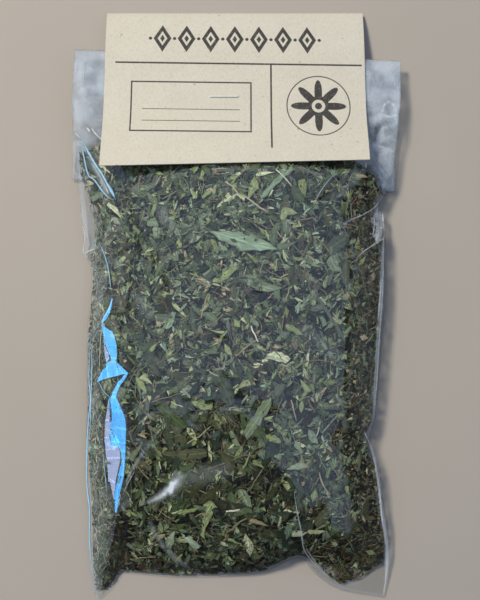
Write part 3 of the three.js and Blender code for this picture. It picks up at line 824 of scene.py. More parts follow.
def pinched_folds(look):
    """The pinched-up folds of the left shoulder, in short stretches that keep close to the wall:
    flat tops with skirts down to it."""
    parts = []
    stretches = [
        (slope_x, np.array([(seen(*a), seen(*b)) for a, b in borders[first : first + 3]]))
        for slope_x, *borders in PINCHES
        for first in range(0, len(borders) - 1, 2)
    ]
    for slope_x, pairs in stretches:
        across, along = pairs[1, 1] - pairs[1, 0], pairs[-1].mean(0) - pairs[0].mean(0)
        if across[0] * along[1] < across[1] * along[0]:
            pairs, along = pairs[::-1], -along
        overlap = PINCH_OVERLAP * along / math.hypot(*along)
        pairs[0] -= overlap
        pairs[-1] += overlap
        at = distances(pairs.mean(1))
        steps = np.linspace(0, at[-1], max(4, int(at[-1] / 0.7)))
        shares = np.linspace(0, 1, 7)[:, None]
        x, y = (
            np.interp(steps, at, pairs[:, 0, axis]) * (1 - shares)
            + np.interp(steps, at, pairs[:, 1, axis]) * shares
            for axis in range(2)
        )
        slope_y = (y.mean() / CAMERA_HEIGHT + 0.09) / 1.13  # towards the window's middle
        plane, wall = slope_x * x + slope_y * y, front_height(x, y)
        top = plane + (wall - plane).max() + 0.12 + 0.05 * bumps(x / 1.9 + 20, y / 2.3)
        wider = SKIRT * (2 * shares - 1)
        out_x, out_y = x + wider * np.sign(across[0]), y + wider * np.sign(across[1]) * 0.2
        columns = (a.T for a in (x, y, top, wall - 0.15, out_x, out_y))
        points, faces = closed_loft([there_and_back(*ring) for ring in zip(*columns)])
        parts.append((points, faces))
    piece("film_pinches", *joined(parts), (look,), FILM, sharp=0.6)


def flap_fold_glints():
    """The flap's higher creases, for ribbons of painted highlight, as (points, width, look)."""
    return [
        (points, 0.3 + 0.7 * height, "soft" if height > 0.6 else "faint")
        for points, height, _ in FLAP_CREASES
        if abs(points[:, 0]).max() < FLAT_WIDTH / 2 and points[:, 1].max() < 98 and height > 0.5
    ]


def film_fold_glints(looks):
    """Ribbons of painted highlight and painted reflection on the sharp folds in the film: slim
    roofs that lie on it and taper at both ends.
    """
    folds = [(on_wall(pixels), *rest, film_front) for pixels, *rest in FOLD_GLINTS]
    folds += [(*fold, flap_height) for fold in flap_fold_glints()]
    parts = []
    for ends, width, look, height_at in folds:
        away = distances(ends)
        at = np.linspace(0, away[-1], max(4, int(away[-1] / 1.1)))
        x, y = (curve(*zip(away, ends[:, axis]))(at) for axis in range(2))
        direction = np.stack((np.gradient(x), np.gradient(y)), 1)
        direction /= np.hypot(*direction.T)[:, None]
        taper = ramp(np.minimum(at, away[-1] - at) + 0.3, away[-1] * 0.25 + 0.3)
        half = width / 2 * (0.25 + 0.75 * taper) * (1 + 0.3 * bumps(x, y))
        lines = []
        for side, up in ((1, 0.04), (0, min(0.5, 0.3 / width)), (-1, 0.04), (0, -0.12)):
            px = x - direction[:, 1] * side * half
            py = y + direction[:, 0] * side * half
            lines.append(np.c_[px, py, height_at(px, py) + up * half + 0.03 + 0.07 * width])
        points, faces = closed_loft(np.stack(lines, 1))
        parts.append((points, faces, np.full(len(faces), list(looks).index(look))))
    points, faces, slots = joined(parts)
    piece("film_fold_glints", points, faces, looks.values(), FILM, slots=slots)


def glint_material(name, colour, share, patchiness):
    """Painted highlight or painted reflection along a fold: a whitish or blue layer over clear
    film, made patchy by noise.
    """
    nodes, finished = material(name)
    # noise makes the painted highlight patchy
    worn = nodes.step(nodes.noise(nodes.place(), 450.0, 2.0), 0.3, 0.7, 1 - patchiness, 1 + 0.3 * patchiness)
    white = nodes.shader("Principled", Base_Color=colour, Roughness=0.25)
    return finished(nodes.blend(nodes.product(worn, share), nodes.shader("Transparent"), white))


def sheen_share(nodes, place, sheen_marks, height):
    """How milky the marks of painted highlight and sheen make a place: each fades out from the line
    between its two ends.
    """
    flat = nodes.stretched(place, 1 / MM, 1 / MM, 0)
    total = 0.0
    for first, last, half, strength in sheen_marks:
        start, end = (np.array([*seen(*at, height), 0]) + ROW_SHIFT for at in (first, last))
        line = end - start
        from_start = nodes.vector("SUBTRACT", flat, tuple(start))
        along = nodes.vector("DOT_PRODUCT", from_start, tuple(line / (line @ line)), output=1)
        along = nodes.math("ADD", along, 0.0, clamp=True)
        nearest = nodes.node("VectorMath", {"operation": "SCALE"}, Scale=along)
        nodes.put(nearest.inputs[0], tuple(line))
        away = nodes.vector("DISTANCE", from_start, nearest.outputs[0], output=1)
        half = half * CAMERA_HEIGHT / FOCAL_PIXELS
        total = nodes.math("ADD", total, nodes.step(away, 0, half, strength, 0))
    return total


def film_material(name, haze, roughness, mirrored=0.078, sheen_marks=(), height=None):
    """Thin clear film: mostly see-through, mirroring more towards grazing angles, slightly milky.
    marks of painted highlight and sheen: milkier ones, or clearer ones, seen at a height or on the
    front wall."""
    nodes, finished = material(name)
    place = nodes.place()
    facing = nodes.node("LayerWeight", Blend=0.5).outputs["Facing"]
    grazing = nodes.math("POWER", facing, 5.0)
    mirror = nodes.math("MULTIPLY_ADD", grazing, 0.86 - mirrored, mirrored)
    streaks = nodes.noise(nodes.stretched(place, 900, 90, 300), 1.0, 4.0)
    crumple = nodes.noise(place, 420.0, 3.0, 0.55)
    cloudy = nodes.noise(place, 150.0, 5.0, 0.62)
    relief = nodes.bump(nodes.math("MULTIPLY_ADD", streaks, 0.35, crumple), 0.14, 0.0003)
    tint = (0.95, 0.97, 1.0)
    shine = nodes.shader("Glossy", Color=tint, Roughness=roughness, Normal=relief)
    clear = nodes.shader("Transparent", Color=(0.965, 0.975, 0.98))
    milk = nodes.shader("Diffuse", Color=(0.75, 0.82, 0.91))
    amount = nodes.product(nodes.step(cloudy, 0.36, 0.66, 0.4, 1.55), haze)
    if sheen_marks:
        # the marks' painted sheen is made uneven by the crumple noise
        worn = nodes.step(crumple, 0.3, 0.7, 0.75, 1.25)
        own = nodes.product(sheen_share(nodes, place, sheen_marks, height), worn)
        clearer = nodes.product(nodes.math("MINIMUM", own, 0.0), amount)
        amount = nodes.chain("ADD", amount, clearer, nodes.math("MAXIMUM", own, 0.0))
    return finished(nodes.blend(amount, nodes.blend(mirror, clear, shine), milk))


# ---------------------------------------------------------------- dried leaf

TILES = 16  # the leaf pattern's tiles each way: a row of tiles for each tone
# The near-black tone is painted shade: it stands for the dark gaps between pieces.
TONES = {
    "shadow_black": (0.008, 0.009, 0.006), "dark_olive": (0.03, 0.034, 0.017),
    "dark_green": (0.027, 0.042, 0.022), "olive": (0.072, 0.078, 0.036),
    "grey_green": (0.085, 0.106, 0.07), "green": (0.105, 0.142, 0.07),
    "sage": (0.19, 0.245, 0.155), "mint": (0.27, 0.37, 0.26), "lime": (0.25, 0.305, 0.135),
    "pale_lime": (0.41, 0.465, 0.27), "straw": (0.38, 0.33, 0.205), "tan": (0.2, 0.155, 0.1),
    "brown": (0.07, 0.048, 0.03), "dark_brown": (0.024, 0.017, 0.011),
    "amber": (0.128, 0.102, 0.038), "cream": (0.62, 0.6, 0.47),
}  # fmt: skip
TONE_ROWS = {name: row for row, name in enumerate(TONES)}

# Half widths along a piece, for its left and right border, and how far its middle is drawn out at
# its two ends
LEAF_SHAPES = (
    ((0.95, 1.0, 0.86, 0.66, 0.4, 0.03), (0.9, 1.0, 0.9, 0.7, 0.36, 0.03), (0.0, 0.06)),  # tip
    ((0.85, 1.0, 0.96, 1.0, 0.9, 0.8), (0.95, 0.9, 1.0, 0.92, 1.0, 0.7), (0.05, 0.02)),  # length
    ((0.06, 0.6, 0.96, 1.0, 0.7, 0.04), (0.06, 0.66, 1.0, 0.92, 0.62, 0.04), (0.0, 0.0)),  # whole
    ((0.4, 0.8, 1.0, 0.9, 0.7, 0.3), (0.3, 0.7, 0.8, 1.0, 0.8, 0.5), (-0.12, 0.05)),  # notched
    ((0.1, 0.45, 0.7, 0.9, 1.0, 0.8), (0.1, 0.4, 0.72, 1.0, 0.96, 0.9), (0.0, -0.16)),  # fishtail
    ((0.5, 1.0, 0.7, 1.0, 0.62, 0.1), (0.7, 0.75, 1.0, 0.6, 0.5, 0.1), (0.02, 0.02)),  # ragged
)

# Weights of the tones in each part of the fill
LIGHT_TONES = {
    "grey_green": 26, "green": 22, "sage": 24, "mint": 6, "lime": 10, "pale_lime": 6, "olive": 16,
    "brown": 2, "dark_green": 8,
}  # fmt: skip
# Tones of deep pieces, darker as painted shade of their depth
DEEP_SHADE_TONES = {
    "shadow_black": 22, "dark_olive": 26, "dark_green": 26, "olive": 12, "grey_green": 8, "green": 3,
    "brown": 4, "dark_brown": 10,
}  # fmt: skip
COARSE_TONES = {
    "dark_green": 26, "olive": 20, "green": 24, "dark_olive": 16, "sage": 6, "lime": 9,
    "pale_lime": 2, "shadow_black": 10,
}  # fmt: skip
FAN_TONES = {
    "lime": 16, "pale_lime": 10, "sage": 18, "green": 14, "olive": 8, "mint": 4, "straw": 5,
}  # fmt: skip
DUST_TONES = {
    "olive": 30, "grey_green": 22, "green": 12, "sage": 5, "dark_olive": 14, "brown": 12, "tan": 9,
    "straw": 3, "amber": 5, "shadow_black": 5,
}  # fmt: skip
WING_TONES = {
    "grey_green": 32, "sage": 22, "straw": 5, "tan": 5, "olive": 12, "mint": 8, "cream": 2,
    "brown": 4, "dark_green": 10,
}  # fmt: skip
EAR_TONES = {
    "amber": 34, "olive": 18, "dark_olive": 16, "brown": 10, "green": 6, "lime": 4, "shadow_black": 6,
}  # fmt: skip
EDGE_TONES = {
    "olive": 30, "tan": 26, "straw": 12, "sage": 8, "green": 12, "grey_green": 9, "brown": 8,
    "lime": 5, "amber": 8,
}  # fmt: skip
STEM_TONES = {"straw": 18, "tan": 26, "brown": 10, "olive": 14, "sage": 8, "cream": 2, "lime": 5}
HAIR_TONES = {
    "tan": 14, "straw": 8, "sage": 10, "grey_green": 14, "olive": 16, "dark_olive": 14,
    "shadow_black": 10,
}  # fmt: skip
THREAD_TONES = {"sage": 24, "mint": 16, "cream": 14, "grey_green": 14, "straw": 6, "dark_green": 26}
# Tones of painted shadow, for the dark corner at the lower left
SHADE_TONES = {"shadow_black": 18, "dark_olive": 26, "dark_brown": 14, "brown": 12, "olive": 14}
SHRED_TONES = {
    "straw": 10, "sage": 26, "lime": 12, "pale_lime": 9, "tan": 6, "mint": 7, "green": 12,
}  # fmt: skip


def inside_bag(x, y, margin):
    """Moves points that would leave the bag to its border, a margin inside it."""
    y = np.clip(y, FILL_START_Y, fill_end(x))
    left = left_side(y) + np.maximum(margin, empty_wing(y))
    right = right_side(y) - margin - 1.5 * ramp(70 - y, 30)
    x = np.clip(x, left, right)
    return x, np.maximum(y, fill_bottom(x) + 0.1)


def steepness(x, y):
    step = 0.6
    along_x = (front_height(x + step, y) - front_height(x - step, y)) / (2 * step)
    along_y = (front_height(x, y + step) - front_height(x, y - step)) / (2 * step)
    return np.minimum(np.sqrt(1 + along_x**2 + along_y**2), 2.2)


def under_film(x, y, depth, behind):
    """Heights at a depth under the front wall, or over the back wall."""
    wall, faceted = wall_height(x, y)
    top = np.minimum(wall, front_height(x, y)) - np.where(faceted, 0.9, 0.3)
    bottom = back_height(x, y) + 0.3
    room = np.maximum(top - bottom, 0.05)
    depth = np.minimum(depth * steepness(x, y), 0.92 * room)
    depth = depth * np.clip(room / 6, 0.25, 1)
    return np.where(behind, bottom + depth, top - depth)


def laid(u, v, w, spread):
    """Points of pieces, given along, across and over each piece, laid under the film."""
    cos, sin = np.cos(spread["turn"])[:, None], np.sin(spread["turn"])[:, None]
    x = spread["x"][:, None] + u * cos - v * sin
    y = spread["y"][:, None] + u * sin + v * cos
    x, y = inside_bag(x, y, 0.5)
    w = w + u * spread["pitch"][:, None] + v * spread["roll"][:, None]
    depth = np.maximum(spread["depth"][:, None] - w, 0.04)
    z = under_film(x, y, depth, spread["behind"][:, None])
    return np.stack((x, y, z), -1)


def tiled(points, faces, places, tone, rng):
    """Every piece with the same faces, and a tile of the leaf pattern of its own. points: by piece
    and corner; places: where each corner of a face lies in the tile."""
    count, corners = points.shape[:2]
    tile = np.stack((rng.integers(0, TILES, count), tone), 1)[:, None, None]
    every = faces + (np.arange(count) * corners)[:, None, None]
    uv_at = (tile + places) / TILES
    return points.reshape(-1, 3), every.reshape(-1, 3), uv_at.reshape(-1, 2)


def tubes(u, v, w, across, spread, rng):
    """Closed tubes laid under the film, given along, across and over each piece, by piece, station
    and side. across: where each side lies over the width of the tile."""
    count, stations, sides = v.shape
    points = laid(*(a.reshape(count, -1) for a in np.broadcast_arrays(u, v, w)), spread)
    faces = []
    for j in range(stations - 1):
        for k in range(sides):
            a, b = sides * j + k, sides * j + (k + 1) % sides
            faces += [(a, b, b + sides), (a, b + sides, a + sides)]
    last = sides * (stations - 1)
    for k in range(1, sides - 1):
        faces += [(0, k + 1, k), (last, last + k, last + k + 1)]
    faces = np.array(faces)
    along = 0.06 + 0.88 * (faces // sides / (stations - 1))
    places = np.stack((along, np.asarray(across)[faces % sides]), -1)
    return tiled(points, faces, places, spread["tone"], rng)


def leaf_meshes(spread, stations, rng):
    """Closed thin pieces of leaf with a keel along the middle: points, faces and corner places."""
    count = len(spread["x"])
    at = np.linspace(0, 1, stations)
    table = np.array([[left, right] for left, right, _ in LEAF_SHAPES])
    ends = np.array([drawn for *_, drawn in LEAF_SHAPES])
    shape = spread["shape"]
    sample = np.linspace(0, 1, table.shape[2])
    widths = np.empty((count, 2, stations))
    for kind, borders in enumerate(table):
        for side, border in enumerate(borders):
            widths[shape == kind, side] = np.interp(at, sample, border)
    widths *= rng.uniform(0.72, 1.16, widths.shape)
    long, wide = spread["long"][:, None], spread["wide"][:, None] / 2
    slant = rng.normal(0, 0.09, (count, 1))
    u = (at - 0.5) * long
    drawn = np.zeros((count, stations))
    drawn[:, 0], drawn[:, -1] = -ends[shape, 0], ends[shape, 1]
    bend = rng.normal(0, 0.1, (count, 1)) * wide * 3 * ((2 * at - 1) ** 2 - 0.4)
    left = (u + slant * long * 0.5, -widths[:, 0] * wide + bend)
    right = (u - slant * long * 0.5, widths[:, 1] * wide + bend)
    middle = (u + drawn * long, bend + 0 * u)
    keel = spread["keel"][:, None] * wide * widths.mean(1)
    curl = -spread["curl"][:, None] * (2 * at - 1) ** 2 * long * 0.12
    half = spread["thick"][:, None] / 2
    us, vs = (np.stack((left[i], middle[i], right[i], middle[i]), 2) for i in range(2))
    ws = np.stack((curl, curl - keel + half, curl, curl - keel - half), 2)
    return tubes(us, vs, ws, (0.06, 0.5, 0.94, 0.5), spread, rng)


def stem_meshes(spread, stations, sides, rng):
    """Closed bent stalks and hairs."""
    count = len(spread["x"])
    at = np.linspace(0, 1, stations)
    long = spread["long"][:, None]
    u = (at - 0.5) * long
    bend = spread["bend"][:, None] * long * ((2 * at - 1) ** 2 - 0.5)
    kink = rng.normal(0, 0.02, (count, stations)) * long
    around = np.linspace(0, 2 * math.pi, sides, endpoint=False)
    radius = spread["thick"][:, None] / 2 * rng.uniform(0.7, 1.1, (count, stations))
    radius[:, -1] *= 0.5
    vs = (bend + kink)[:, :, None] + radius[:, :, None] * np.cos(around)
    ws = radius[:, :, None] * np.sin(around) + rng.normal(0, 0.08, (count, stations, 1))
    across = 0.1 + 0.8 * ((np.arange(sides) + 0.5) / sides)
    return tubes(u[:, :, None], vs, ws, across, spread, rng)


def crumb_meshes(spread, rng):
    """Closed small chips, as flattened eight-sided grains."""
    corners = np.array(
        [(1, 0, 0), (0, 1, 0), (-1, 0, 0), (0, -1, 0), (0, 0, 1), (0, 0, -1)], float
    )
    size = np.stack((spread["long"], spread["wide"], spread["thick"]), 1)[:, None, :] / 2
    local = corners * size * rng.uniform(0.6, 1.3, (len(size), 6, 3))
    faces = np.array(
        [(0, 1, 4), (1, 2, 4), (2, 3, 4), (3, 0, 4), (1, 0, 5), (2, 1, 5), (3, 2, 5), (0, 3, 5)]
    )
    places = 0.5 + 0.4 * corners[:, :2]
    return tiled(laid(*local.transpose(2, 0, 1), spread), faces, places[faces], spread["tone"], rng)


def places_in_bag(count, rng, behind):
    """Random places under the film: x, y, and whether each lies at the back."""
    xs, ys = [], []
    while sum(map(len, xs)) < count:
        x, y = rng.uniform(-66, 68, count), rng.uniform(FILL_START_Y, FILL_END_Y, count)
        good = (x > left_side(y) + empty_wing(y)) & (x < right_side(y) - 0.8)
        good &= (y > fill_bottom(x) + 0.4) & (y < fill_end(x))
        xs.append(x[good])
        ys.append(y[good])
    x, y = np.concatenate(xs)[:count], np.concatenate(ys)[:count]
    return x, y, rng.random(count) < behind


def pick(rng, weights, count):
    """Rows of the leaf pattern drawn by {tone name: weight}."""
    names, shares = zip(*weights.items())
    drawn = rng.choice(len(names), count, p=np.array(shares) / sum(shares))
    return np.array([TONE_ROWS[name] for name in names])[drawn]


def fineness(x, y):
    """How fine the fill is cut at a place, from 0, coarse, to 1, dust."""
    wing = 1 - ramp(x - np.minimum(shoulder_foot(y), pale_wing(y)) + 1.5, 3)
    ear = ramp(x - 30, 8) * ramp(EAR_TOP_Y - y, 10)
    edge = 1 - ramp(right_side(y) - x - 9, 7)
    bottom = 0.25 * ramp(-103 - y, 6)
    return np.clip(np.maximum.reduce([wing, ear, edge, bottom]), 0, 1)


def painted_shadow(x, y):
    """Share of painted shadow at the dark corner at the lower left, beside the pale wing."""
    return ramp(-84 - y, 8) * (1 - ramp(x + 46, 7)) * (x > pale_wing(y) - 0.3)


def coarseness(x, y):
    """Where the larger pieces of leaf lie, low in the middle."""
    return np.exp(-(((x + 8) / 30) ** 2) - ((y + 68) / 26) ** 2)


def in_wing(x, y):
    return x < np.minimum(shoulder_foot(y), pale_wing(y)) - 0.3


def fine_tones(x, y, rng):
    """Tones of small pieces: pale in the wing, amber and dark in the right ear."""
    ear = (x > 28) & (y < -90)
    shaded = painted_shadow(x, y) > 0.3
    tone = np.where(x > 40, pick(rng, EDGE_TONES, len(x)), pick(rng, DUST_TONES, len(x)))
    tone = np.where(ear, pick(rng, EAR_TONES, len(x)), tone)
    tone = np.where(shaded, pick(rng, SHADE_TONES, len(x)), tone)
    return np.where(in_wing(x, y), pick(rng, WING_TONES, len(x)), tone)


def turns(count, rng):
    return rng.uniform(0, 2 * math.pi, count)


def leaf_spread(count, deep, behind, unshaded_share, rng):
    """Sizes, tones and places of leaf pieces between two depths: deeper layers take a smaller share
    of light tones, as painted shade.
    """
    x, y, back = places_in_bag(count, rng, behind)
    fine, coarse = fineness(x, y), coarseness(x, y)
    keep = rng.random(count) > 0.75 * fine + 0.2 * coarse
    x, y, back, fine, coarse = (a[keep] for a in (x, y, back, fine, coarse))
    count = len(x)
    long = rng.lognormal(math.log(3.8), 0.45, count) * (1 - 0.5 * fine) * (1 + 0.9 * coarse)
    long = np.clip(long, 1.5, 15)
    slim = rng.uniform(0.2, 0.52, count)
    light, dark = pick(rng, LIGHT_TONES, count), pick(rng, DEEP_SHADE_TONES, count)
    # painted light: more pale pieces towards the card, fewer again under it as the card's painted
    # shadow
    painted_light_and_card_shade = ramp(y - 2, 26) * (1 - 0.6 * ramp(y - 38, 12))
    paler = unshaded_share + (0.34 * painted_light_and_card_shade - 0.07) * (unshaded_share > 0)
    tone = np.where(rng.random(count) < paler, light, dark)
    tone = np.where(rng.random(count) < 1.1 * coarse, pick(rng, COARSE_TONES, count), tone)
    tone = np.where(rng.random(count) < 1.1 * fine, fine_tones(x, y, rng), tone)
    tone = np.where(rng.random(count) < painted_shadow(x, y), pick(rng, SHADE_TONES, count), tone)
    return dict(
        x=x, y=y, behind=back, turn=turns(count, rng), long=long,
        wide=np.clip(long * slim, 0.6, 4.4), depth=rng.uniform(*deep, count),
        pitch=rng.normal(0, 0.16, count), roll=rng.normal(0, 0.36, count),
        keel=rng.normal(0.12, 0.38, count), curl=rng.normal(0.3, 0.8, count),
        thick=rng.uniform(0.1, 0.22, count), tone=tone,
        shape=rng.choice(len(LEAF_SHAPES), count, p=(0.25, 0.2, 0.15, 0.12, 0.12, 0.16)),
    )  # fmt: skip


def gathered(parts):
    return {name: np.concatenate([part[name] for part in parts]) for name in parts[0]}


def fan_spread(count, rng):
    """Cut ends of leaves: a few slim blades that spread from one point."""
    x, y, back = places_in_bag(count, rng, 0.1)
    keep = rng.random(count) > 0.95 * fineness(x, y) + 0.5 * coarseness(x, y) + painted_shadow(x, y)
    x, y, back = x[keep], y[keep], back[keep]
    turn, long = turns(len(x), rng), rng.uniform(2.2, 5.0, len(x))
    depth, tone = rng.uniform(0, 1.2, len(x)), pick(rng, FAN_TONES, len(x))
    apart = rng.uniform(0.12, 0.3, len(x))
    parts = []
    for blade in range(4):
        own_turn = turn + (blade - 1.5) * apart + rng.normal(0, 0.05, len(x))
        own_long = long * rng.uniform(0.6, 1.0, len(x))
        own_x, own_y = x + own_long / 2 * np.cos(own_turn), y + own_long / 2 * np.sin(own_turn)
        parts.append(dict(
            x=own_x, y=own_y, behind=back, turn=own_turn, long=own_long,
            depth=depth + 0.06 * blade, tone=tone,
        ))  # fmt: skip
    made = gathered(parts)
    count = len(made["x"])
    return made | dict(
        wide=made["long"] * rng.uniform(0.16, 0.28, count), pitch=rng.normal(0, 0.1, count),
        roll=rng.normal(0, 0.3, count), keel=rng.normal(0.3, 0.3, count),
        curl=rng.normal(0.3, 0.5, count), thick=rng.uniform(0.1, 0.16, count),
        shape=rng.choice((0, 4, 5), count),
    )  # fmt: skip


def stem_spread(count, tones, long, thick, deep, bend, rng):
    """Stalks and hairs under the film, their sizes and depths drawn between two ends."""
    x, y, back = places_in_bag(count, rng, 0.12)
    fine = fineness(x, y)
    tone = np.where(in_wing(x, y), pick(rng, WING_TONES, count), pick(rng, tones, count))
    tone = np.where(painted_shadow(x, y) > 0.4, pick(rng, SHADE_TONES, count), tone)
    return dict(
        x=x, y=y, behind=back, turn=turns(count, rng),
        long=rng.uniform(*long, count) * (1 - 0.5 * fine * ~in_wing(x, y)),
        thick=rng.uniform(*thick, count), depth=rng.uniform(*deep, count),
        bend=rng.normal(0, bend, count), pitch=rng.normal(0, 0.08, count), roll=np.zeros(count),
        tone=tone,
    )  # fmt: skip


def shred_spread(count, rng):
    """Bunches of fine pale shreds that lie nearly side by side."""
    each = 5
    x, y, back = places_in_bag(count, rng, 0.1)
    keep = rng.random(count) > 0.45 * coarseness(x, y) + 0.25 * ramp(-y, 60) + painted_shadow(x, y)
    x, y, back = x[keep], y[keep], back[keep]
    count = len(x)
    turn, depth = turns(count, rng), rng.uniform(0, 1.0, count)
    tone = np.where(in_wing(x, y), pick(rng, WING_TONES, count), pick(rng, SHRED_TONES, count))
    long, apart = rng.uniform(1.4, 4.4, count), rng.uniform(0.25, 0.55, count)
    parts = []
    for k in range(each):
        aside = (k - (each - 1) / 2) * apart + rng.normal(0, 0.1, count)
        ahead = rng.normal(0, 0.25, count) * long
        parts.append(dict(
            x=x + ahead * np.cos(turn) - aside * np.sin(turn),
            y=y + ahead * np.sin(turn) + aside * np.cos(turn),
            behind=back, turn=turn + 0.35 * aside + rng.normal(0, 0.12, count),
            long=long * rng.uniform(0.6, 1.1, count),
            depth=depth + rng.uniform(0, 0.25, count), tone=tone,
        ))  # fmt: skip
    made = gathered(parts)
    count = len(made["x"])
    return made | dict(
        thick=rng.uniform(0.12, 0.27, count), bend=rng.normal(0, 0.1, count),
        pitch=rng.normal(0, 0.06, count), roll=np.zeros(count),
    )  # fmt: skip


def wing_threads(count, rng):
    """Fine threads of leaf in the flat wing, most of them along the bag."""
    y = rng.uniform(-117, 36, count)
    x = left_side(y) + empty_wing(y) + rng.uniform(0.4, 6.5, count)
    return dict(
        x=x, y=y, behind=np.zeros(count, bool), turn=rng.normal(math.pi / 2, 0.6, count),
        long=rng.uniform(1.6, 6, count), thick=rng.uniform(0.12, 0.32, count),
        depth=rng.uniform(0, 0.5, count), bend=rng.normal(0, 0.12, count),
        pitch=np.zeros(count), roll=np.zeros(count), tone=pick(rng, THREAD_TONES, count),
    )  # fmt: skip


def crumb_spread(count, rng):
    x, y, back = places_in_bag(count, rng, 0.2)
    fine = fineness(x, y)
    keep = rng.random(count) < np.where(in_wing(x, y), 0.45, 0.35 + 0.65 * fine)
    x, y, back, fine = (a[keep] for a in (x, y, back, fine))
    count = len(x)
    size = rng.lognormal(math.log(0.85), 0.4, count) * (1 + 0.2 * fine)
    return dict(
        x=x, y=y, behind=back, turn=turns(count, rng), long=size * rng.uniform(1, 2.4, count),
        wide=size, thick=0.4 * size, depth=rng.uniform(0, 2.4, count),
        pitch=rng.normal(0, 0.2, count), roll=rng.normal(0, 0.3, count),
        tone=fine_tones(x, y, rng),
    )  # fmt: skip


# Single large pieces: picture pixels of their two ends, width, tone, shape and depth
OWN_LEAVES = (
    ((212, 232), (276, 250), 7, "mint", 2, 0.25), ((278, 248), (296, 242), 3, "sage", 0, 0.2),
    ((165, 456), (206, 453), 4.6, "olive", 1, 0.1),
    ((328, 250), (352, 232), 6.5, "grey_green", 5, 0.15),
    ((262, 196), (291, 168), 2.2, "mint", 1, 0.3), ((247, 198), (257, 180), 4.2, "lime", 4, 0.2),
    ((291, 186), (303, 200), 4.6, "green", 3, 0.3),
    ((280, 216), (296, 210), 4.4, "pale_lime", 5, 0.1),
    ((270, 400), (246, 436), 4.2, "sage", 1, 0.15), ((240, 412), (262, 440), 5.5, "green", 2, 0.6),
    ((216, 372), (232, 404), 5.6, "grey_green", 1, 0.2),
    ((287, 540), (289, 527), 3.6, "mint", 4, 0), ((308, 532), (325, 532), 2.6, "pale_lime", 5, 0),
    ((286, 326), (303, 334), 3.2, "lime", 5, 0), ((234, 320), (240, 327), 2.6, "lime", 2, 0),
    ((224, 344), (232, 356), 2.2, "pale_lime", 2, 0),
    ((238, 388), (250, 382), 3, "pale_lime", 4, 0), ((301, 380), (309, 392), 2.6, "lime", 4, 0),
    ((302, 400), (301, 413), 2, "pale_lime", 2, 0), ((265, 435), (280, 442), 3.2, "lime", 3, 0),
    ((308, 430), (318, 444), 3.6, "sage", 2, 0.1), ((136, 378), (146, 392), 3, "lime", 3, 0),
    ((141, 376), (152, 384), 2.4, "pale_lime", 0, 0),
    ((176, 395), (190, 425), 3.6, "dark_green", 1, 0.1),
    ((160, 405), (184, 428), 4.2, "green", 1, 0.3), ((172, 420), (184, 444), 3.6, "olive", 1, 0.3),
    ((130, 460), (142, 444), 2.6, "green", 0, 0.1), ((147, 222), (158, 224), 4, "sage", 3, 0),
    ((178, 514), (198, 508), 2.4, "lime", 5, 0), ((135, 500), (142, 488), 2.6, "green", 2, 0.1),
    ((215, 482), (222, 470), 2.4, "lime", 0, 0.1), ((250, 520), (268, 526), 2.2, "straw", 0, 0),
    ((320, 300), (345, 340), 1.4, "grey_green", 1, 0), ((330, 256), (340, 272), 6, "sage", 5, 0.3),
    ((188, 470), (202, 488), 3.4, "grey_green", 2, 0),
    ((190, 493), (206, 480), 3.4, "olive", 1, 0), ((180, 470), (196, 463), 2.8, "green", 0, 0),
    ((203, 468), (214, 482), 3, "grey_green", 4, 0),
)  # fmt: skip

# Single stems: picture pixels of their two ends, thickness and tone
OWN_STEMS = (
    ((225, 182), (268, 212), 0.6, "straw"), ((288, 222), (318, 218), 0.4, "tan"),
    ((316, 236), (330, 252), 0.5, "straw"), ((352, 190), (345, 214), 0.5, "lime"),
    ((152, 402), (186, 392), 0.35, "tan"), ((251, 326), (258, 342), 0.6, "cream"),
    ((268, 342), (284, 362), 0.4, "sage"), ((243, 470), (250, 452), 0.6, "pale_lime"),
    ((204, 470), (262, 448), 0.4, "tan"), ((209, 372), (219, 376), 0.5, "straw"),
    ((171, 402), (183, 407), 0.5, "cream"), ((226, 512), (240, 510), 0.7, "cream"),
    ((163, 300), (172, 318), 0.5, "tan"), ((286, 300), (289, 288), 0.5, "straw"),
    ((318, 452), (326, 472), 0.4, "sage"), ((240, 545), (256, 554), 0.5, "straw"),
    ((208, 294), (201, 318), 0.35, "straw"),
)  # fmt: skip


def between_ends(rows):
    """Pieces that lie between two pixels of the picture, and the other columns of their table."""
    first, last, *columns = zip(*rows)
    x0, y0, x1, y1 = np.c_[on_wall(first), on_wall(last)].T
    made = dict(
        x=(x0 + x1) / 2, y=(y0 + y1) / 2, behind=np.zeros(len(rows), bool),
        turn=np.arctan2(y1 - y0, x1 - x0), long=np.hypot(x1 - x0, y1 - y0),
        pitch=np.zeros(len(rows)),
    )  # fmt: skip
    return made, *map(np.array, columns)


def own_leaves(rng):
    made, wide, tones, shape, depth = between_ends(OWN_LEAVES)
    count = len(OWN_LEAVES)
    return made | dict(
        wide=wide, depth=depth, roll=rng.normal(0, 0.05, count),
        keel=rng.normal(0.1, 0.06, count), curl=rng.uniform(0, 0.2, count),
        thick=np.full(count, 0.2), shape=shape, tone=np.array([TONE_ROWS[t] for t in tones]),
    )  # fmt: skip


def own_stems():
    made, thick, tones = between_ends(OWN_STEMS)
    count = len(OWN_STEMS)
    return made | dict(
        thick=thick, depth=np.zeros(count), bend=np.full(count, 0.03), roll=np.zeros(count),
        tone=np.array([TONE_ROWS[t] for t in tones]),
    )  # fmt: skip


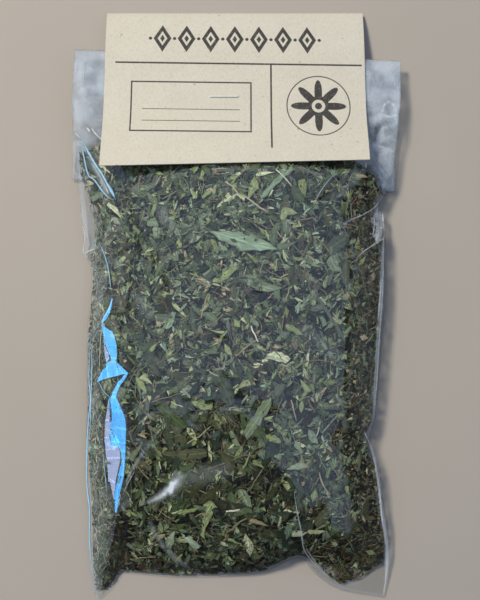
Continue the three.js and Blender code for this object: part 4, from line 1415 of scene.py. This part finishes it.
def leaf_material(name, veins):
    """Dried leaf: the tone of its tile, a paler midrib, faint side veins, mottling, brown rims."""
    nodes, finished = material(name)
    uv = nodes.node("UVMap", {"uv_map": "OFBake"}).outputs[0]
    tiles = nodes.separate(nodes.stretched(uv, TILES, TILES, 1))
    column, row = (nodes.math("FLOOR", tiles[i]) for i in range(2))
    along, across = (nodes.math("FRACT", tiles[i]) for i in range(2))
    stops = [(i / TILES, colour) for i, colour in enumerate(TONES.values())]
    middle_of_row = nodes.math("DIVIDE", nodes.math("ADD", row, 0.5), float(TILES))
    tone = nodes.ramp(middle_of_row, stops, "CONSTANT")
    own = nodes.node("CombineXYZ", X=column, Y=row).outputs[0]
    chance = nodes.node("TexWhiteNoise", {"noise_dimensions": "2D"}, Vector=own).outputs["Value"]
    colour = nodes.node(
        "HueSaturation",
        Color=tone,
        Value=nodes.step(chance, 0, 1, 0.68, 1.4),
        Saturation=nodes.step(chance, 1, 0, 0.8, 1.2),
    ).outputs[0]
    from_middle = nodes.away(across, 0.5)
    mottle = nodes.noise(nodes.stretched(uv, 60, 150, 1), 1.0, 4.0, 0.65)
    brown, rust = (0.5, 0.42, 0.32), (0.7, 0.5, 0.4)
    colour = nodes.mix(nodes.step(mottle, 0.45, 0.7, 0, 0.8), colour, brown, "MULTIPLY")
    shade = nodes.step(mottle, 0.5, 0.2, 1, 1.5)
    if veins:
        rib = nodes.step(from_middle, 0.07, 0.02, 1, 1.6)
        slanted = nodes.math("MULTIPLY_ADD", from_middle, -9.0, nodes.product(along, 22.0))
        side = nodes.step(nodes.math("SINE", slanted), 0.72, 0.98, 1, 1.35)
        shade = nodes.product(shade, nodes.largest(rib, side))
        colour = nodes.mix(nodes.step(from_middle, 0.33, 0.46, 0, 0.6), colour, rust, "MULTIPLY")
    colour = nodes.node("HueSaturation", Color=colour, Value=shade).outputs[0]
    return finished(nodes.shader("Principled", Base_Color=colour, Roughness=0.62, IOR=1.4))


def core_shade_material():
    nodes, finished = material("fill_core_shade")
    grain = nodes.noise(nodes.place(), 900.0, 5.0, 0.7)
    # near-black grain: painted shade of the deep gaps in the fill
    dark, middle, light = (0.006, 0.006, 0.004), (0.016, 0.017, 0.010), (0.035, 0.038, 0.022)
    colour = nodes.ramp(grain, ((0.3, dark), (0.5, middle), (0.68, light)))
    relief = nodes.bump(grain, 0.8, 0.0006)
    return finished(nodes.shader("Principled", Base_Color=colour, Roughness=0.8, Normal=relief))


def fill_core(core_shade):
    """The packed inside of the fill: a closed rough body under the pieces of leaf, near-black as
    painted shade for the gaps between them.
    """
    rough = Noise(CORE_SEED)
    shares = np.linspace(-1, 1, 90)
    rings = []
    for row in np.arange(-108.5, FILL_END_Y - 3, 1.5):
        left, right = left_side(row) + wing_width(row) + 1.5, right_side(row) - 3
        x = (left + right) / 2 + (right - left) / 2 * shares
        y = np.clip(row, fill_bottom(x) + 1.5, fill_end(x) - 1.5)
        depth = 4.0 + 1.1 * rough(x / 2.1, row / 2.1)
        front = under_film(x, y, depth, np.zeros(len(x), bool))
        back = under_film(x, y, np.full(len(x), 0.8), np.ones(len(x), bool))
        rings.append(there_and_back(x, y, np.maximum(front, back + 0.02), back))
    piece("fill_core", *closed_loft(rings), (core_shade,), LEAF)


def without(spread, own):
    """Leaves out the pieces that would lie over a single large leaf."""
    over = np.zeros(len(spread["x"]), bool)
    single = (own[name] for name in ("x", "y", "turn", "long", "wide", "depth"))
    for x, y, turn, long, wide, depth in zip(*single):
        dx, dy = spread["x"] - x, spread["y"] - y
        along = dx * math.cos(turn) + dy * math.sin(turn)
        across = dy * math.cos(turn) - dx * math.sin(turn)
        near = (np.abs(along) < 0.5 * long) & (np.abs(across) < 0.6 * wide)
        over |= near & (spread["depth"] < depth + 0.9) & ~spread["behind"]
    return {name: values[~over] for name, values in spread.items()}


def leaf_fill():
    """All pieces of leaf. Lengths, thicknesses and depths under the film are in millimetres."""
    rng = np.random.default_rng(LEAF_SEED)
    leaf, stalk = leaf_material("dried_leaf", True), leaf_material("dried_stem", False)
    fill_core(core_shade_material())

    def made(name, look, *parts):
        points, faces, uv = joined(parts)
        piece(name, points, faces, (look,), LEAF, uv=uv, sharp=0.7)

    own = own_leaves(rng)
    # the deeper a layer, the fewer light tones: painted shade
    deep = leaf_spread(4200, deep=(2.4, 4.4), behind=0.3, unshaded_share=0.0, rng=rng)
    middle = leaf_spread(4600, deep=(1.0, 3.0), behind=0.25, unshaded_share=0.35, rng=rng)
    top = without(leaf_spread(2900, deep=(0.0, 1.4), behind=0.15, unshaded_share=0.85, rng=rng), own)
    made("leaf_deep", leaf, leaf_meshes(deep, 4, rng))
    made("leaf_middle", leaf, leaf_meshes(middle, 5, rng))
    made("leaf_top", leaf, leaf_meshes(top, 7, rng), leaf_meshes(own, 12, rng))
    made("leaf_fans", leaf, leaf_meshes(without(fan_spread(1500, rng), own), 3, rng))
    stems = stem_spread(
        800, STEM_TONES, long=(5, 15), thick=(0.3, 0.75), deep=(0.3, 3.2), bend=0.05, rng=rng
    )
    hairs = stem_spread(
        3800, HAIR_TONES, long=(2.5, 9), thick=(0.12, 0.28), deep=(0.0, 3.0), bend=0.09, rng=rng
    )
    shreds = shred_spread(1000, rng)
    stems, hairs, shreds = (without(spread, own) for spread in (stems, hairs, shreds))
    made(
        "stalks", stalk, stem_meshes(stems, 5, 5, rng), stem_meshes(own_stems(), 7, 6, rng),
        stem_meshes(hairs, 4, 3, rng),
    )  # fmt: skip
    threads = wing_threads(1100, rng)
    made("leaf_shreds", stalk, stem_meshes(shreds, 4, 3, rng), stem_meshes(threads, 4, 3, rng))
    made("crumbs", stalk, crumb_meshes(crumb_spread(14000, rng), rng))


# ---------------------------------------------------------------- header card


def card_profile():
    """Middle line of the card in y and z, from the front leaf's edge round the fold to the back."""
    front_y = np.r_[np.arange(CARD_FRONT_END, 116, 0.9), 116.6]
    front_z = card_under(front_y) + CARD_THICK / 2 + CARD_LIFT * ramp(112 - front_y, 12)
    fold = [(117.6, 2.35), (117.95, 1.9), (117.7, 1.45)]
    closing_y = 101  # from where the back leaf comes up to the fold
    under_fold = float(card_back_top(np.float64(closing_y)))
    closing = curve((closing_y, under_fold), (110, 3), (116, 1.5), (117.4, 1.4))
    back_y = np.arange(116.4, CARD_LOWEST_Y, -1.6)
    back_z = np.where(back_y < closing_y, card_back_top(back_y), closing(back_y)) - CARD_THICK / 2
    line = [*zip(front_y, front_z), *fold, *zip(back_y, back_z), (CARD_LOWEST_Y, back_z[-1])]
    return np.array(line), len(front_y)


def header_card(kraft):
    line, front_count = card_profile()
    along = np.gradient(line, axis=0)
    half = CARD_THICK / 2 * np.c_[-along[:, 1], along[:, 0]] / np.hypot(*along.T)[:, None]
    front_y = line[:front_count, 0]
    slant = ramp(75 - front_y, 21) * math.tan(CARD_CUT_SLANT)
    bow = Noise(CARD_SEED)
    rings = []
    for x in np.linspace(-CARD_WIDTH / 2, CARD_WIDTH / 2, 80):
        middle = line.copy()
        middle[:front_count, 0] += slant * x
        middle[:front_count, 1] += 0.08 * bow(x / 21, front_y / 17)
        out, back = (middle + side * half for side in (1, -1))
        ring = np.r_[out, back[::-1]]
        rings.append(np.c_[np.full(len(ring), x), ring])
    piece("kraft_header_card", *closed_loft(rings), (kraft,), CARD, sharp=0.8)


def kraft_material():
    """Pale kraft board with fibres and dark flecks, printed with plain rules and ornaments."""
    nodes, finished = material("kraft_card")
    place = nodes.place()
    fibre = nodes.noise(nodes.stretched(place, 1, 0.45, 1), 1500.0, 4.0, 0.6)
    cloud = nodes.noise(place, 90.0, 3.0)
    flecks = nodes.noise(place, 1100.0, 2.0, 0.4)
    specks = nodes.noise(place, 520.0, 1.0, 0.3)
    base = nodes.mix(cloud, (0.61, 0.575, 0.49), (0.69, 0.655, 0.57))
    for pattern, low, high, share, colour in (
        (fibre, 0.35, 0.7, 0.45, (0.54, 0.49, 0.40)),
        (flecks, 0.66, 0.74, 0.45, (0.42, 0.35, 0.26)),
        (specks, 0.77, 0.81, 0.6, (0.32, 0.26, 0.18)),
    ):
        base = nodes.mix(nodes.step(pattern, low, high, 0, share), base, colour)
    colour = nodes.mix(printed(nodes, place, fibre), base, (0.045, 0.042, 0.04))
    relief = nodes.bump(nodes.math("ADD", fibre, cloud), 0.35, 0.00012)
    return finished(nodes.shader("Principled", Base_Color=colour, Roughness=0.82, Normal=relief))


# Print on the card, in millimetres
RULE = 0.7  # thickness of the printed rules
RULE_SLOPE = 0.0142
RULE_Y = 95.5
BAND_Y = 106
LOZENGES, LOZENGE_PITCH = 7, 9.8
ROSETTE = (33.5, 78.0)
FRAME = (-17.5, 77.0)
INK_SOFT = 0.12


def printed(nodes, place, fibre):
    """Share of ink: two rules in a T, a band of lozenges over them, a rosette and an open frame."""
    x, y, z = nodes.separate(place)
    x = nodes.math("MULTIPLY_ADD", x, 1 / MM, -ROW_SHIFT[0])
    y = nodes.math("MULTIPLY_ADD", y, 1 / MM, -ROW_SHIFT[1])
    y = nodes.math("MULTIPLY_ADD", x, RULE_SLOPE, y)

    def within(value, half):
        return nodes.step(value, half + INK_SOFT, half - INK_SOFT)

    def bar(centre_x, centre_y, half_x, half_y):
        spans = ((x, centre_x, half_x), (y, centre_y, half_y))
        return nodes.product(*(within(nodes.away(v, centre), half) for v, centre, half in spans))

    inks = [bar(1.5, RULE_Y, 49.8, RULE / 2), bar(14.6, 77.5, RULE / 2, 17.8)]
    # Band of lozenges and dots
    cell = nodes.math("FRACT", nodes.math("MULTIPLY_ADD", x, 1 / LOZENGE_PITCH, 0.5))
    cell = nodes.math("ABSOLUTE", nodes.product(nodes.math("SUBTRACT", cell, 0.5), LOZENGE_PITCH))
    up = nodes.away(y, BAND_Y)
    lozenge = nodes.math("ADD", nodes.math("DIVIDE", cell, 3.6), nodes.math("DIVIDE", up, 5.8))
    ring = nodes.product(nodes.step(lozenge, 1.04, 0.98), nodes.step(lozenge, 0.52, 0.58))
    heart = nodes.step(lozenge, 0.3, 0.24)
    from_gap = nodes.math("SUBTRACT", LOZENGE_PITCH / 2, cell)
    dot = nodes.step(nodes.diagonal(from_gap, up), 0.75, 0.6)
    reach = within(nodes.away(x, 0.0), LOZENGE_PITCH * LOZENGES / 2 + 0.9)
    inks.append(nodes.product(nodes.largest(ring, heart, dot), reach))
    # Rosette of eight petals
    dx, dy = (nodes.math("SUBTRACT", v, centre) for v, centre in zip((x, y), ROSETTE))
    radius = nodes.diagonal(dx, dy)
    turn = nodes.product(nodes.math("ARCTAN2", dy, dx), 8.0)
    petal = nodes.math("MULTIPLY_ADD", nodes.math("COSINE", turn), 3.4, 7.6)
    petals = nodes.step(nodes.math("SUBTRACT", radius, petal), 0.1, -0.1)
    inks.append(nodes.product(petals, nodes.step(radius, 2.6, 2.8)))
    inks.append(nodes.step(radius, 1.5, 1.3))
    inks.append(within(nodes.away(radius, 12.6), 0.22))
    # Open frame for a hand-written note, and two lines in it
    past = [
        nodes.math("SUBTRACT", nodes.away(v, centre), half)
        for v, centre, half in zip((x, y), FRAME, (24.0, 10.5))
    ]
    inks.append(within(nodes.math("ABSOLUTE", nodes.largest(*past)), 0.3))
    inks += [bar(FRAME[0], line_y, 19.5, 0.14) for line_y in (76.0, 71.0)]
    # Only the outer face of the front leaf is printed.
    facing = nodes.separate(nodes.node("NewGeometry").outputs["True Normal"])[2]
    outer = nodes.step(facing, 0.2, 0.4)
    worn = nodes.step(fibre, 0.25, 0.5, 0.8, 0.97)
    above = nodes.step(z, 2.5 * MM, 2.7 * MM)
    return nodes.product(nodes.largest(*inks), outer, worn, above)


# ---------------------------------------------------------------- staple


def steel_material():
    nodes, finished = material("staple_wire")
    drawn = nodes.noise(nodes.stretched(nodes.place(), 300, 6000, 6000), 1.0, 3.0)
    shader = nodes.shader(
        "Principled",
        Base_Color=nodes.mix(drawn, (0.74, 0.77, 0.82), (0.92, 0.93, 0.95)),
        Metallic=0.25,
        Roughness=nodes.step(drawn, 0.3, 0.7, 0.3, 0.45),
        Normal=nodes.bump(drawn, 0.2, 0.00005),
    )
    return finished(shader)


# ---------------------------------------------------------------- stage, light and camera


def stage():
    side, level = 4.0, -0.0001  # just under the packet
    corners = ((-side, -side), (side, -side), (side, side), (-side, side))
    mesh = bpy.data.meshes.new("floor")
    mesh.from_pydata([(x, y, level) for x, y in corners], [], [(0, 1, 2, 3)])
    nodes, finished = material("pale_floor")
    soft = nodes.noise(nodes.place(), 14.0, 3.0)
    colour = nodes.mix(soft, (0.43, 0.388, 0.346), (0.465, 0.422, 0.378))
    mesh.materials.append(finished(nodes.shader("Principled", Base_Color=colour, Roughness=0.75)))
    floor = linked("floor", mesh)
    floor.visible_glossy = False


def surroundings():
    """The room round the packet: a pale ceiling over dim walls, someone at the packet's lower end,
    and a low blue window at the left with a paler pane over it. Only mirrored light and shade show
    it: straight past the packet the camera sees a plain backdrop."""
    world = bpy.data.worlds.new("room")
    bpy.context.scene.world = world
    world.use_nodes = True
    nodes = Nodes(world.node_tree)
    x, y, z = nodes.separate(nodes.node("TexCoord").outputs["Generated"])

    def patch(*spans, soft=0.015):
        """Share of the room between two heights or sides, for each span."""
        shares = []
        for value, low, high in spans:
            shares.append(nodes.step(value, low - soft, low + soft))
            shares.append(nodes.step(value, high + soft, high - soft))
        return nodes.product(*shares)

    window = ((y, -0.16, -0.03), (x, -1.1, -0.8))
    wall, ceiling, backdrop = (0.085, 0.085, 0.08), (0.42, 0.52, 0.70), (0.36, 0.335, 0.31)
    colour = nodes.mix(nodes.step(z, 0.46, 0.6), wall, ceiling)
    person = nodes.largest(
        patch((y, -2, -0.18), (x, -0.76, 0.09)), patch((y, -2, -0.27), (x, -0.9, 0.4))
    )
    colour = nodes.mix(person, colour, (0.025, 0.025, 0.025))
    sky = nodes.mix(nodes.step(z, 0.04, 0.24), (0.2, 1.45, 3.5), (0.55, 2.45, 4.0))
    colour = nodes.mix(patch(*window, (z, 0.02, 0.26)), colour, sky)
    colour = nodes.mix(patch(*window, (z, 0.27, 0.42)), colour, (1.25, 1.45, 2.3))
    seen_plainly = nodes.node("LightPath").outputs["Is Camera Ray"]
    room = nodes.node("Background", Color=nodes.mix(seen_plainly, colour, backdrop))
    nodes.node("OutputWorld", Surface=room.outputs[0])


def key_lamp():
    at = Vector((-0.5, 0.5, 1.0))
    light = bpy.data.lights.new("key", "AREA")
    light.shape = "DISK"
    light.size, light.energy, light.color = 0.22, 12.8, (1.0, 0.93, 0.78)
    lamp = linked("key", light)
    lamp.location = at
    lamp.rotation_euler = (-at).to_track_quat("-Z", "Y").to_euler()
    lamp.visible_glossy = False


def camera():
    data = bpy.data.cameras.new("camera")
    data.sensor_fit = "AUTO"
    data.sensor_width = SENSOR
    data.lens = SENSOR * FOCAL_PIXELS / max(PICTURE)
    data.clip_start, data.clip_end = 0.01, 20
    made = linked("camera", data)
    made.location = row_points((CAMERA_X, 0, CAMERA_HEIGHT))
    bpy.context.scene.camera = made


def main():
    bpy.context.scene.view_settings.view_transform = "Standard"
    bpy.context.scene.view_settings.look = "None"
    camera()
    stage()
    surroundings()
    key_lamp()
    belly = film_material("clear_film", 0.005, 0.05, sheen_marks=FRONT_PAINTED_SHEEN)
    flap = film_material("milky_film", 0.18, 0.14, sheen_marks=FLAP_CLEARINGS_AND_PAINTED_SHEEN, height=6)
    wing = film_material("wing_film", 0.06, 0.3, 0.035, WING_PAINTED_SHEEN, 4)
    folded = film_material("folded_film", 0.02, 0.04, 0.2)
    film_bag((belly, flap, wing, folded))
    pinched_folds(film_material("pinched_film", 0.03, 0.04, 0.25))
    # Looks of the fold ribbons: pale, soft and faint are painted highlights; blue and deep are
    # painted reflections of the window, light and dark blue. Each is colour, share and patchiness.
    looks = {
        "pale": ((0.88, 0.92, 0.96), 0.8, 0.3),
        "blue": ((0.46, 0.74, 0.96), 0.92, 0.15),
        "soft": ((0.8, 0.87, 0.95), 0.34, 0.1),
        "faint": ((0.75, 0.84, 0.95), 0.15, 0.1),
        "deep": ((0.05, 0.2, 0.42), 0.5, 0.2),
    }
    film_fold_glints({name: glint_material(f"{name}_fold", *look) for name, look in looks.items()})
    leaf_fill()
    header_card(kraft_material())
    steel = steel_material()
    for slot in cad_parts["staple"].material_slots:
        slot.link = "OBJECT"
        slot.material = steel


main()
